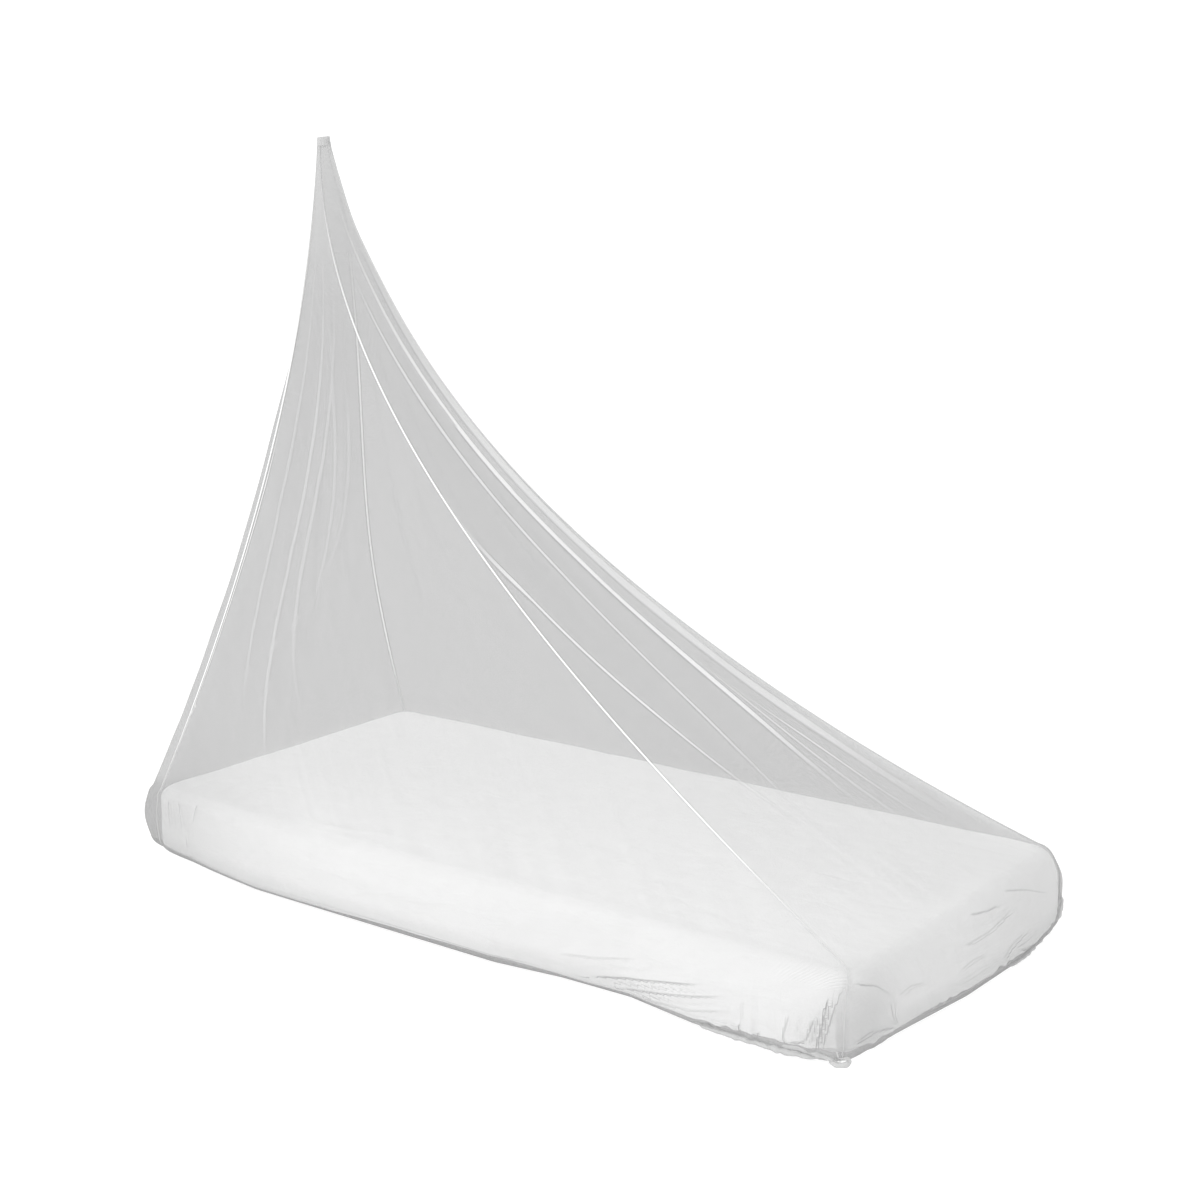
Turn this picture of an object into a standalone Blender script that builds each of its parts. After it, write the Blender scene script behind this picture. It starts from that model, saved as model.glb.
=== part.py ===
"""A mosquito net canopy hung from one point above the head end of a single mattress.

Four panels of fine net meet at four corner seams and gather into one tip. Each panel runs from the tip
down to the mattress's top edge, falls over its side and is tucked a hand's length beneath it.

Frame: metres, +Z up, origin on the floor under the middle of the mattress. +X runs from the head end to the
foot end, and +Y from the near long side to the far one.
"""

from collections import namedtuple
from math import cos, pi, radians, sin

import bmesh
import bpy
import numpy as np

# ---------------------------------------------------------------- driving sizes
MATTRESS_LENGTH = 1.900
MATTRESS_WIDTH = 0.900
MATTRESS_THICKNESS = 0.175
MATTRESS_CORNER = 0.055  # radius of its four corners, seen from above
MATTRESS_EDGE = 0.030  # radius of its top and bottom edges
MATTRESS_LIFT = 0.036  # how far its soft bottom corners rise off the floor
MATTRESS_RISE = 8  # how near the corner that rise stays: the higher, the nearer

NET_THICKNESS = 0.002
NET_CLEARANCE = 0.002  # between the net and the mattress's side
TOUCH_GAP = 0.0003  # between pieces that touch on the real thing
TUCK_DEPTH = 0.120  # how far the net reaches under the mattress
TUCK_CORNER = 0.010  # corner radius of the tucked hem, seen from above
NET_LIFT = 0.026  # how far the net's corners rise with the mattress
NET_RISE = 13  # how near the corner that rise stays
SKIRT_SLACK = 0.004  # how far the net stands off the middle of the mattress's side

TIP_HEIGHT = 1.675
TIP_FROM_HEAD = 0.195
TIP_RADIUS_X = 0.0105  # inner radii of the gathered net at the tip
TIP_RADIUS_Y = 0.0070

SEAM_DIAMETER = 0.0045
SEAM_SIDE_GAP = 0.0005  # from a seam's surface to the edge of each panel beside it
SEAM_SLANT = 0.45  # how much more room it gets along the tent's rows, which the seams cross at a slant
SEAM_TOP_ROOM = 0.0012  # how far below the net's top edge the seams end, inside the cap
CAP_HEIGHT = 0.016
CAP_WALL = 0.0015
CAP_FLARE = 0.0030  # how much further out its lower rim is than its top
CAP_SHIFT = 0.0024  # how far its lower rim leans towards the foot end
CAP_POINTS = 24
CAP_CREASE = 40  # degrees: its top edge is sharp and its wall is smooth

# ---------------------------------------------------------------- worked out from them
HALF_LENGTH = MATTRESS_LENGTH / 2
HALF_WIDTH = MATTRESS_WIDTH / 2
MATTRESS_BOTTOM = NET_THICKNESS + TOUCH_GAP
MATTRESS_TOP = MATTRESS_BOTTOM + MATTRESS_THICKNESS
TIP_X = TIP_FROM_HEAD - HALF_LENGTH
NET_TOP = TIP_HEIGHT - CAP_WALL - 3 * TOUCH_GAP
SEAM_ROOM = SEAM_DIAMETER / 2 + SEAM_SIDE_GAP

# The corner seams, in the order in which they go round the net. straight and power shape the seam's sag:
# at the fraction q of the way down it has gone straight * q + (1 - straight) * q ** power of the way out.
# push is how far the cloth around it pulls it along X a quarter of the way down, and pull is how far it is
# drawn along Y three quarters of the way down. contact is as for the panels below.
Seam = namedtuple("Seam", "name tip_angle straight power push pull contact")
SEAMS = (
    Seam("near_head_seam", 190, 0.20, 1.76, 0.000, 0.000, 50),
    Seam("near_foot_seam", 275, -0.10, 1.90, 0.000, 0.000, 16),
    Seam("far_foot_seam", 330, 0.40, 2.96, -0.030, 0.014, 16),
    Seam("far_head_seam", 450, 0.51, 3.20, 0.044, 0.000, 50),
)

# The panels, each between two seams. along and out are its directions seen from above, contact is the angle
# round the mattress's top edge at which the net first touches it, in degrees from straight up.
Panel = namedtuple("Panel", "name first last along out contact columns")
PANELS = (
    Panel("near_panel", 0, 1, (1, 0), (0, -1), 45, 18),
    Panel("foot_panel", 1, 2, (0, 1), (1, 0), 16, 20),
    Panel("far_panel", 2, 3, (-1, 0), (0, 1), 45, 16),
    Panel("head_panel", 3, 0, (0, -1), (-1, 0), 64, 16),
)

# Ridges that stand out of a panel between the tip and the mattress. at_tip, bend and at_base steer the curve
# that a ridge runs along, as fractions of the way across the panel. start and end are fractions of the way
# down it, height is how far it stands out and width is half its breadth.
Fold = namedtuple("Fold", "panel at_tip bend at_base start end height width")
FOLDS = (
    Fold("foot_panel", -0.10, -0.23, 0.46, 0.52, 1.02, 0.012, 0.026),
    Fold("foot_panel", 0.20, 0.72, 0.33, 0.16, 0.92, 0.010, 0.026),
    Fold("foot_panel", 0.63, 0.82, 0.61, 0.06, 0.98, 0.016, 0.028),
    Fold("foot_panel", 0.50, 0.80, 0.79, 0.74, 1.02, 0.010, 0.024),
    Fold("far_panel", 0.14, 0.10, 0.06, 0.06, 0.98, 0.024, 0.060),
    Fold("head_panel", 0.85, 0.87, 0.88, 0.06, 0.96, 0.018, 0.045),
    Fold("head_panel", 0.40, 0.42, 0.40, 0.06, 0.85, 0.008, 0.020),
    Fold("near_panel", 0.23, 0.13, 0.03, 0.10, 0.92, 0.007, 0.020),
    Fold("near_panel", 0.62, 0.15, 0.16, 0.10, 0.86, 0.008, 0.022),
    Fold("near_panel", 0.98, 0.17, 0.22, 0.14, 0.72, 0.007, 0.022),
)

# The cloth bunched on the mattress's side by a corner. corner is 0 at a panel's first seam and 1 at its last,
# reach is how far along the side it goes, pitch is from one fold to the next.
Gather = namedtuple("Gather", "panel corner reach pitch height")
GATHERS = (
    Gather("near_panel", 1, 0.165, 0.048, 0.009),
    Gather("foot_panel", 0, 0.110, 0.044, 0.008),
)

# How the folds and the cloth beside the seams ease in and out.
CONTACT_BLEND = 0.15  # the fraction of a panel over which its contact angle turns into its seam's
FOLD_FADE = 0.15  # the fraction of the way down over which a fold starts or ends
FOLD_FULL_WIDTH = 0.35  # where a panel is narrower than this, its folds are lower
FOLD_SEAM_ROOM = 0.05  # a fold is lower where it is nearer to a seam than this
GATHER_AT_TOP = 0.3  # the bunched cloth's depth at the top of the side, as a share of that at the bottom

# How finely the net and the mattress are cut up.
TENT_ROWS = 15
TENT_CROWDING = 1.15  # over 1, the rows lie closer together towards the tip
TOP_EDGE_ROWS = 3
SIDE_ROWS = 4
BOTTOM_EDGE_ROWS = 4
TUCK_ROWS = 2
COLUMN_CROWDING = 0.13  # how much closer together a panel's columns lie towards its seams
SEAM_SAMPLE = 0.004  # the fraction of a panel over which the cloth's slope beside a seam is read
CORNER_SEGMENTS = 6
EDGE_SEGMENTS = 4
MATTRESS_CUTS = (0.06, 0.09, 0.12, 0.17, 0.24)  # lines across its faces, from each side


# ---------------------------------------------------------------- outlines and profiles
def smooth(value):
    """0 below 0, 1 above 1, and an even turn between."""
    value = np.clip(value, 0.0, 1.0)
    return value * value * (3 - 2 * value)


def side_length(panel, out):
    """Length of one side of the rounded outline that lies out metres outside the mattress."""
    half = HALF_LENGTH if panel.along[0] else HALF_WIDTH
    radius = np.maximum(MATTRESS_CORNER + out, TUCK_CORNER)
    return 2 * (half + out - radius) + radius * pi / 2


def outline(panel, part, out):
    """Points along one side of that outline. part runs from 0 to 1, corner to corner."""
    half, reach = (HALF_LENGTH, HALF_WIDTH) if panel.along[0] else (HALF_WIDTH, HALF_LENGTH)
    half, reach = half + out, reach + out
    radius = np.maximum(MATTRESS_CORNER + out, TUCK_CORNER)
    straight = half - radius
    walked = (part - 0.5) * (2 * straight + radius * pi / 2)
    turned = np.clip((np.abs(walked) - straight) / radius, 0, pi / 4) * np.sign(walked)
    sideways = np.clip(walked, -straight, straight) + radius * np.sin(turned)
    outward = reach - radius + radius * np.cos(turned)
    along, away = np.array(panel.along), np.array(panel.out)
    return sideways[:, None] * along + outward[:, None] * away


def tip_ring(angle):
    """A point of the gathered oval, seen from above, at an angle in degrees."""
    angle = np.radians(angle)
    return np.stack([TIP_X + TIP_RADIUS_X * np.cos(angle), TIP_RADIUS_Y * np.sin(angle)], axis=-1)


def lift(points, height, nearness):
    """Raises what lies near the mattress's bottom corners by up to the given height."""
    near_corner = np.abs(points[..., 0] * points[..., 1]) / (HALF_LENGTH * HALF_WIDTH)
    low = np.clip(1 - points[..., 2] / MATTRESS_TOP, 0, 1)
    points[..., 2] += height * np.clip(near_corner, 0, 1) ** nearness * low**2
    return points


def contact_angle(panel, part):
    """The angle round the mattress's top edge at which the net first touches it."""
    ends = np.where(part < 0.5, SEAMS[panel.first].contact, SEAMS[panel.last].contact)
    inner = smooth(np.minimum(part, 1 - part) / CONTACT_BLEND)
    return np.radians(ends + (panel.contact - ends) * inner)


def edge_point(angle, clearance):
    """Where the net lies on the mattress's top edge, at that angle from straight up."""
    radius = MATTRESS_EDGE + clearance
    out = radius * np.sin(angle) - MATTRESS_EDGE
    height = MATTRESS_TOP - MATTRESS_EDGE + radius * np.cos(angle)
    return out, height


def seam_point(seam, base, q):
    """Where a corner seam is, seen from above, at the fraction q of the way down to its base point."""
    gone = seam.straight * q + (1 - seam.straight) * q**seam.power
    tip = tip_ring(seam.tip_angle)
    push = seam.push * smooth(q / 0.15) * smooth((0.75 - q) / 0.5)
    pull = seam.pull * smooth(q / 0.8) * smooth((1 - q) / 0.3)
    return tip + (base - tip) * gone + np.array([push, pull])


def corner_base(seam, panel, part):
    """The base point of a seam: its touch on the mattress's corner."""
    out, _ = edge_point(np.array([radians(seam.contact)]), NET_CLEARANCE)
    return outline(panel, np.array([part]), out)[0]


def tent_row(panel, part, q):
    """Points of the inner face of a panel at the fraction q of the way from the tip to the mattress."""
    first, last = SEAMS[panel.first], SEAMS[panel.last]
    bases = corner_base(first, panel, 0.0), corner_base(last, panel, 1.0)
    ends = seam_point(first, bases[0], q), seam_point(last, bases[1], q)
    out, height = edge_point(contact_angle(panel, part), NET_CLEARANCE)
    rim = outline(panel, part, out)
    along, away = np.array(panel.along), np.array(panel.out)
    span = (bases[1] - bases[0]) @ along
    across = ((rim - bases[0]) @ along / span)[:, None]
    points = ends[0] * (1 - across) + ends[1] * across
    chord = bases[0] * (1 - across) + bases[1] * across
    points += ((rim - chord) @ away)[:, None] * away * q**4
    tip_angles = first.tip_angle + (last_angle(panel) - first.tip_angle) * across[:, 0]
    straight_tip = tip_ring(first.tip_angle) * (1 - across) + tip_ring(last.tip_angle) * across
    points += (tip_ring(tip_angles) - straight_tip) * (1 - q) ** 8
    return np.column_stack([points, NET_TOP - q * (NET_TOP - height)])


def last_angle(panel):
    """The tip angle of a panel's last seam, counted on from its first seam."""
    angle = SEAMS[panel.last].tip_angle
    return angle + 360 if angle < SEAMS[panel.first].tip_angle else angle


def gather_height(panel, part):
    """How far the bunched cloth by a corner stands out from the mattress's side."""
    height = np.zeros(len(part))
    for gather in GATHERS:
        if gather.panel == panel.name:
            away = np.abs(part - gather.corner) * side_length(panel, 0.0)
            wave = 0.5 - 0.5 * np.cos(2 * pi * away / gather.pitch)
            height += gather.height * wave * smooth(1.25 * (1 - away / gather.reach))
    return height


def skirt_row(panel, part, zone, along_zone):
    """Points of the inner face of a panel on the mattress's edges and side, or beneath it."""
    bunched = gather_height(panel, part)
    if zone == "top_edge":
        start = contact_angle(panel, part)
        out, height = edge_point(start + (pi / 2 - start) * along_zone, NET_CLEARANCE)
        out = out + bunched * GATHER_AT_TOP * along_zone
    elif zone == "side":
        top, bottom = MATTRESS_TOP - MATTRESS_EDGE, MATTRESS_BOTTOM + MATTRESS_EDGE
        depth = GATHER_AT_TOP + (1 - GATHER_AT_TOP) * along_zone
        out = NET_CLEARANCE + SKIRT_SLACK * sin(pi * along_zone) + bunched * depth
        height = top + (bottom - top) * along_zone + 0 * part
    elif zone == "bottom_edge":
        angle = along_zone * pi / 2
        clearance = NET_CLEARANCE + (TOUCH_GAP - NET_CLEARANCE) * sin(angle)
        out = (MATTRESS_EDGE + clearance + bunched) * cos(angle) - MATTRESS_EDGE
        height = MATTRESS_BOTTOM + MATTRESS_EDGE - (MATTRESS_EDGE + clearance) * sin(angle) + 0 * part
    else:
        out = -MATTRESS_EDGE - (TUCK_DEPTH - MATTRESS_EDGE) * along_zone + 0 * part
        height = NET_THICKNESS + 0 * part
    plan = outline(panel, part, out)
    return lift(np.column_stack([plan, height]), NET_LIFT, NET_RISE)


def rows_of_net():
    """Every row of a panel from the tip to the tucked hem, as a zone and the place in it."""
    rows = [("tent", (step / TENT_ROWS) ** TENT_CROWDING) for step in range(TENT_ROWS + 1)]
    for zone, steps in (
        ("top_edge", TOP_EDGE_ROWS),
        ("side", SIDE_ROWS),
        ("bottom_edge", BOTTOM_EDGE_ROWS),
        ("tuck", TUCK_ROWS),
    ):
        rows += [(zone, (step + 1) / steps) for step in range(steps)]
    return rows


def columns_of(panel):
    """Fractions of the way across a panel, closer together towards its seams."""
    even = np.linspace(0, 1, panel.columns + 1)
    places = even - COLUMN_CROWDING * np.sin(2 * pi * even)
    for gather in GATHERS:
        if gather.panel == panel.name:
            length = side_length(panel, 0.0)
            clear = np.abs(places - gather.corner) * length > gather.reach + gather.pitch / 8
            step = gather.pitch / 4
            bunched = np.abs(gather.corner - np.arange(0, gather.reach + step / 2, step) / length)
            places = np.union1d(places[clear], bunched)
    return places


def inner_face(panel, part, room):
    """Points of a panel's inner face before its folds, row by row. room is kept clear at each seam."""
    face = []
    for zone, place in rows_of_net():
        if zone == "tent":
            ends = tent_row(panel, np.array([0.0, 1.0]), place)
            wider = 1.0 + SEAM_SLANT * (1 - place**4)
            share = wider * room / max(np.linalg.norm(ends[1] - ends[0]), 4 * room + 1e-6)
            face.append(tent_row(panel, share + part * (1 - 2 * share), place))
        else:
            out = -TUCK_DEPTH * place if zone == "tuck" else 0.0
            share = room / side_length(panel, out)
            face.append(skirt_row(panel, share + part * (1 - 2 * share), zone, place))
    return np.array(face)


def fold_place(fold, q):
    """Where a fold is at the fraction q of the way down, as a fraction of the way across its panel."""
    return fold.at_tip * (1 - q) ** 2 + 2 * fold.bend * q * (1 - q) + fold.at_base * q**2


def fold_height(panel, part, q, width_here):
    """How far the folds of a panel stand out at the fraction q of the way down."""
    height = np.zeros(len(part))
    from_seam = np.minimum(part, 1 - part) * width_here
    for fold in FOLDS:
        if fold.panel != panel.name or q <= fold.start:
            continue
        centre = fold_place(fold, q)
        away = np.abs(part - centre) * width_here / fold.width
        fade = smooth((q - fold.start) / FOLD_FADE) * min(1.0, width_here / FOLD_FULL_WIDTH)
        if fold.end < 1:
            fade *= smooth((fold.end - q) / FOLD_FADE)
        height += fold.height * fade * np.exp(-(away**1.5)) * smooth(from_seam / FOLD_SEAM_ROOM)
    return height


def fold_panel(panel, part, face):
    """Adds the folds to a panel's inner face."""
    across = np.gradient(face, axis=1)
    down = np.gradient(face, axis=0)
    outward = np.cross(down, across)
    outward /= np.maximum(np.linalg.norm(outward, axis=2, keepdims=True), 1e-9)
    for row, (zone, place) in enumerate(rows_of_net()):
        if zone == "tent":
            width_here = np.linalg.norm(face[row, -1] - face[row, 0])
            face[row] += fold_height(panel, part, place, width_here)[:, None] * outward[row]
    return face


# ---------------------------------------------------------------- making the pieces
def clear_scene():
    for thing in list(bpy.data.objects):
        bpy.data.objects.remove(thing, do_unlink=True)


def make_material(name, colour, roughness, alpha=1.0):
    material = bpy.data.materials.new(name)
    material.use_nodes = True
    shader = material.node_tree.nodes["Principled BSDF"]
    shader.inputs["Base Color"].default_value = (*colour, 1.0)
    shader.inputs["Roughness"].default_value = roughness
    shader.inputs["Metallic"].default_value = 0.0
    shader.inputs["Alpha"].default_value = alpha
    return material


def finish(thing, name, material, collection):
    """Names a new object, gives it its material and puts it in the model's collection."""
    thing.name = name
    thing.data.name = name
    thing.data.materials.append(material)
    for old in list(thing.users_collection):
        old.objects.unlink(thing)
    collection.objects.link(thing)
    return thing


def is_rim(edge):
    """Whether an edge of the block runs round its top or its bottom face."""
    flat = [abs(face.normal.z) > 0.9 for face in edge.link_faces]
    return any(flat) and not all(flat)


def make_mattress(material, collection):
    """A foam block with round corners and edges, whose bottom corners rise a little off the floor."""
    mesh = bpy.data.meshes.new("mattress")
    block = bmesh.new()
    bmesh.ops.create_cube(block, size=1.0)
    bmesh.ops.scale(block, vec=(MATTRESS_LENGTH, MATTRESS_WIDTH, MATTRESS_THICKNESS), verts=block.verts)
    middle = MATTRESS_BOTTOM + MATTRESS_THICKNESS / 2
    bmesh.ops.translate(block, vec=(0, 0, middle), verts=block.verts)
    upright = [edge for edge in block.edges if edge.verts[0].co.xy == edge.verts[1].co.xy]
    around = {"profile": 0.5, "affect": "EDGES"}
    bmesh.ops.bevel(block, geom=upright, offset=MATTRESS_CORNER, segments=CORNER_SEGMENTS, **around)
    rims = [edge for edge in block.edges if is_rim(edge)]
    bmesh.ops.bevel(block, geom=rims, offset=MATTRESS_EDGE, segments=EDGE_SEGMENTS, **around)
    for inset in MATTRESS_CUTS:
        for axis, half in ((0, HALF_LENGTH), (1, HALF_WIDTH)):
            for side in (-1, 1):
                place, normal = [0, 0, 0], [0, 0, 0]
                place[axis], normal[axis] = side * (half - inset), 1
                cut = block.verts[:] + block.edges[:] + block.faces[:]
                bmesh.ops.bisect_plane(block, geom=cut, plane_co=place, plane_no=normal)
    points = lift(np.array([vertex.co[:] for vertex in block.verts]), MATTRESS_LIFT, MATTRESS_RISE)
    for vertex, point in zip(block.verts, points):
        vertex.co = point
    block.to_mesh(mesh)
    block.free()
    mesh.shade_smooth()
    mattress = bpy.data.objects.new("mattress", mesh)
    collection.objects.link(mattress)
    return finish(mattress, "mattress", material, collection)


def make_panel(panel, material, collection):
    """One net panel: a grid laid on its inner face, thickened outwards."""
    part = columns_of(panel)
    face = fold_panel(panel, part, inner_face(panel, part, SEAM_ROOM))
    rows, columns = face.shape[0] - 1, face.shape[1] - 1
    bpy.ops.mesh.primitive_grid_add(x_subdivisions=columns, y_subdivisions=rows, size=1)
    sheet = bpy.context.object
    for vertex in sheet.data.vertices:
        column = round((vertex.co.x + 0.5) * columns)
        row = round((vertex.co.y + 0.5) * rows)
        vertex.co = face[row, column]
    sheet.data.shade_smooth()
    thicken = sheet.modifiers.new("net_thickness", "SOLIDIFY")
    thicken.thickness = NET_THICKNESS
    thicken.offset = -1
    thicken.use_even_offset = True
    return finish(sheet, panel.name, material, collection)


def seam_path(seam, panel):
    """The centre line of a corner seam, down to where it turns beneath the mattress."""
    sample = np.array([0.0, SEAM_SAMPLE, 2 * SEAM_SAMPLE])
    rows = rows_of_net()
    face = inner_face(panel, sample, 0.0)
    before = PANELS[(PANELS.index(panel) - 1) % len(PANELS)]
    other = inner_face(before, 1 - sample, 0.0)
    down = np.gradient(face[:, 0], axis=0)
    out_here = np.cross(down, face[:, 1] - face[:, 0])
    out_there = np.cross(down, other[:, 0] - other[:, 1])
    outward = out_here / np.linalg.norm(out_here, axis=1, keepdims=True)
    outward += out_there / np.linalg.norm(out_there, axis=1, keepdims=True)
    outward /= np.linalg.norm(outward, axis=1, keepdims=True)
    path = face[:, 0] + outward * NET_THICKNESS / 2
    path[0, 2] -= SEAM_TOP_ROOM
    kept = [index for index, (zone, _) in enumerate(rows) if zone != "tuck"]
    return path[kept]


def make_seam(seam, panel, material, collection):
    """The bound seam at one corner of the net: a slim round tape from the tip to the mattress's foot."""
    path = seam_path(seam, panel)
    curve = bpy.data.curves.new(seam.name, "CURVE")
    curve.dimensions = "3D"
    curve.bevel_depth = SEAM_DIAMETER / 2
    curve.bevel_resolution = 2
    curve.use_fill_caps = True
    spline = curve.splines.new("POLY")
    spline.points.add(len(path) - 1)
    for point, place in zip(spline.points, path):
        point.co = (*place, 1)
    tape = bpy.data.objects.new(seam.name, curve)
    collection.objects.link(tape)
    return finish(tape, seam.name, material, collection)


def make_cap(material, collection):
    """The bound heading that closes the gathered tip: a flat oval cup, open below."""
    room = NET_THICKNESS / 2 + SEAM_DIAMETER / 2 + TOUCH_GAP + CAP_WALL
    bpy.ops.mesh.primitive_cylinder_add(vertices=CAP_POINTS, radius=1, depth=CAP_HEIGHT)
    cap = bpy.context.object
    bowl = bmesh.new()
    bowl.from_mesh(cap.data)
    bowl.faces.ensure_lookup_table()
    bottom = min(bowl.faces, key=lambda face: face.calc_center_median().z)
    bmesh.ops.delete(bowl, geom=[bottom], context="FACES_ONLY")
    for vertex in bowl.verts:
        wider = CAP_FLARE if vertex.co.z < 0 else 0.0
        vertex.co.x = vertex.co.x * (TIP_RADIUS_X + room + wider) + wider * CAP_SHIFT / CAP_FLARE
        vertex.co.y *= TIP_RADIUS_Y + room + wider
    bmesh.ops.translate(bowl, vec=(TIP_X, 0, TIP_HEIGHT - CAP_HEIGHT / 2), verts=bowl.verts)
    bowl.to_mesh(cap.data)
    bowl.free()
    wall = cap.modifiers.new("cap_wall", "SOLIDIFY")
    wall.thickness = CAP_WALL
    wall.offset = -1
    wall.use_even_offset = True
    cap.data.shade_smooth()
    cap.data.set_sharp_from_angle(angle=radians(CAP_CREASE))
    return finish(cap, "tip_cap", material, collection)


def main():
    clear_scene()
    canopy = bpy.data.collections.new("mosquito_net_canopy")
    bpy.context.scene.collection.children.link(canopy)
    net = make_material("net", (0.72, 0.72, 0.72), 0.7, alpha=0.35)
    tape = make_material("seam_tape", (0.92, 0.92, 0.92), 0.6)
    cover = make_material("mattress_cover", (0.90, 0.90, 0.90), 0.85)
    make_mattress(cover, canopy)
    for panel in PANELS:
        make_panel(panel, net, canopy)
        make_seam(SEAMS[panel.first], panel, tape, canopy)
    make_cap(tape, canopy)


main()
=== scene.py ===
# %% [markdown]
# # A one-point mosquito net over a single mattress
# The net hangs from one point above the head end. Four panels of fine net meet at four taped seams, sag
# between the tip and the mattress, lie against its sides and are tucked beneath it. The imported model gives
# every piece its size and place, and this script makes what is seen: the cloth, its folds and its finish.

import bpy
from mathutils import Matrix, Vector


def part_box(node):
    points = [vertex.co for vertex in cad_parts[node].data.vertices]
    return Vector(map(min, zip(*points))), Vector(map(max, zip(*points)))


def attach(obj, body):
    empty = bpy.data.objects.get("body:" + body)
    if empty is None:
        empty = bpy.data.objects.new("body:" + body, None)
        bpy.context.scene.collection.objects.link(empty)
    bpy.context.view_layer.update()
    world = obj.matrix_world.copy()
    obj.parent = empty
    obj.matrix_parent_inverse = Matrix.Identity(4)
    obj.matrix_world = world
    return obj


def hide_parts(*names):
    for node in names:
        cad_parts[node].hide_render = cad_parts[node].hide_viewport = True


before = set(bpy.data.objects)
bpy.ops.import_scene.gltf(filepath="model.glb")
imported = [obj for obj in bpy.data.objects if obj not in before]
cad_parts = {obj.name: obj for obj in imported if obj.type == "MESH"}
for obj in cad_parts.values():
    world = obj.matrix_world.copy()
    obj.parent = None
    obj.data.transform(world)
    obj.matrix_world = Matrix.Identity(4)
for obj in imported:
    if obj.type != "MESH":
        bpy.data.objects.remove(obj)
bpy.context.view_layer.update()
print("nodes:", sorted(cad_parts))

# %% [markdown]
# ## The camera
# The picture is taken from in front of the foot end's near corner, a little above the bed. The lens and the
# place were found by matching the corners of the mattress, the tip and the seams. A long lens keeps the far
# side of the bed nearly as wide as the near side. The camera comes first, so every later look is framed.

# %% Camera
from math import cos, pi, radians, sin

import bpy
from mathutils import Vector, noise

CAMERA_PLACE = (2.581, -3.4196, 1.6072)
CAMERA_TURN = 36.543  # degrees from looking along +Y
CAMERA_DIP = 12.295  # degrees below the horizon
LENS = 59.4
SENSOR = 36

bpy.ops.object.camera_add(
    location=CAMERA_PLACE, rotation=(radians(90 - CAMERA_DIP), 0, radians(CAMERA_TURN))
)
camera = bpy.context.object
camera.data.lens = LENS
camera.data.sensor_width = SENSOR
bpy.context.scene.camera = camera
print("camera at", tuple(camera.location))

# %% [markdown]
# ## Sizes of the cloth
# The mattress's own box gives its length, width and top. The net's measures repeat those of the solids: how
# far it stands off, how deep it is tucked, how thick it is. Whatever else is needed is worked out from them.

# %% Sizes
import numpy as np

mattress_low, mattress_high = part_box("mattress")
cap_low, cap_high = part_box("tip_cap")
HALF_LENGTH = mattress_high.x
HALF_WIDTH = mattress_high.y
MATTRESS_TOP = mattress_high.z
MATTRESS_BOTTOM = mattress_low.z
MATTRESS_CORNER = 0.055  # radius of its upright corners
MATTRESS_EDGE = 0.030  # radius of its top and bottom edges
NET_THICKNESS = 0.002
NET_CLEARANCE = 0.002  # from the mattress to the net
TOUCH_GAP = 0.0003  # left where two pieces touch
TUCK_DEPTH = 0.120  # how far the net reaches beneath the mattress
TUCK_CORNER = 0.010  # smallest corner radius of the tucked cloth
CORNER_LIFT = 0.030  # how far the mattress's bottom head corners rise off the floor
CORNER_RISE = 8  # a higher power keeps that rise closer to the corner
SKIRT_SLACK = 0.004  # how far the net stands off halfway down the mattress's side
TIP_IN = 0.195  # from the mattress's head end to the tip
TIP_X = TIP_IN - HALF_LENGTH
TIP_RADIUS_X = 0.0160
TIP_RADIUS_Y = 0.0108
CAP_WALL = 0.0015
NET_TOP = cap_high.z - CAP_WALL - 3 * TOUCH_GAP
print("mattress", 2 * HALF_LENGTH, "by", 2 * HALF_WIDTH, "top at", MATTRESS_TOP, "net top at", NET_TOP)

# %% [markdown]
# ## The four seams and the four panels
# A seam hangs as a slack line: steep below the tip, flatter towards the mattress. It is steered by how
# straight it is and by a power that bends it, and pushed a little along the bed or pulled across it. Contact
# is where it first touches the mattress's top edge, in degrees round the edge from straight up. Each panel
# spans from one seam to the next, so the seams come first and the cloth between them follows.

# %% Seams and panels
from collections import namedtuple

Seam = namedtuple("Seam", "name tip_angle straight power push pull contact")
SEAMS = (
    Seam("near_head_seam", 190, 0.20, 1.76, 0.000, 0.000, 50),
    Seam("near_foot_seam", 275, -0.10, 1.90, 0.000, 0.000, 16),
    Seam("far_foot_seam", 330, 0.40, 2.96, -0.030, 0.014, 16),
    Seam("far_head_seam", 450, 0.51, 3.20, 0.044, 0.000, 50),
)
Panel = namedtuple("Panel", "name first last along out contact columns")
PANELS = (
    Panel("near_panel", 0, 1, (1, 0), (0, -1), 45, 300),
    Panel("foot_panel", 1, 2, (0, 1), (1, 0), 16, 220),
    Panel("far_panel", 2, 3, (-1, 0), (0, 1), 45, 240),
    Panel("head_panel", 3, 0, (0, -1), (-1, 0), 64, 160),
)


def smooth(value):
    """0 below 0, 1 above 1, and an even turn between."""
    value = np.clip(value, 0.0, 1.0)
    return value * value * (3 - 2 * value)


def rise(value, start, length):
    """0 up to the start, then an even rise to 1 over a length."""
    return smooth((value - start) / length)


def fall(value, end, length):
    """An even fall over a length, from 1 down to 0 at the end."""
    return smooth((end - value) / length)


def tip_ring(angle):
    """A point of the gathered oval at the tip, seen from above, at an angle in degrees."""
    angle = np.radians(angle)
    return np.stack([TIP_X + TIP_RADIUS_X * np.cos(angle), TIP_RADIUS_Y * np.sin(angle)], axis=-1)


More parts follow.
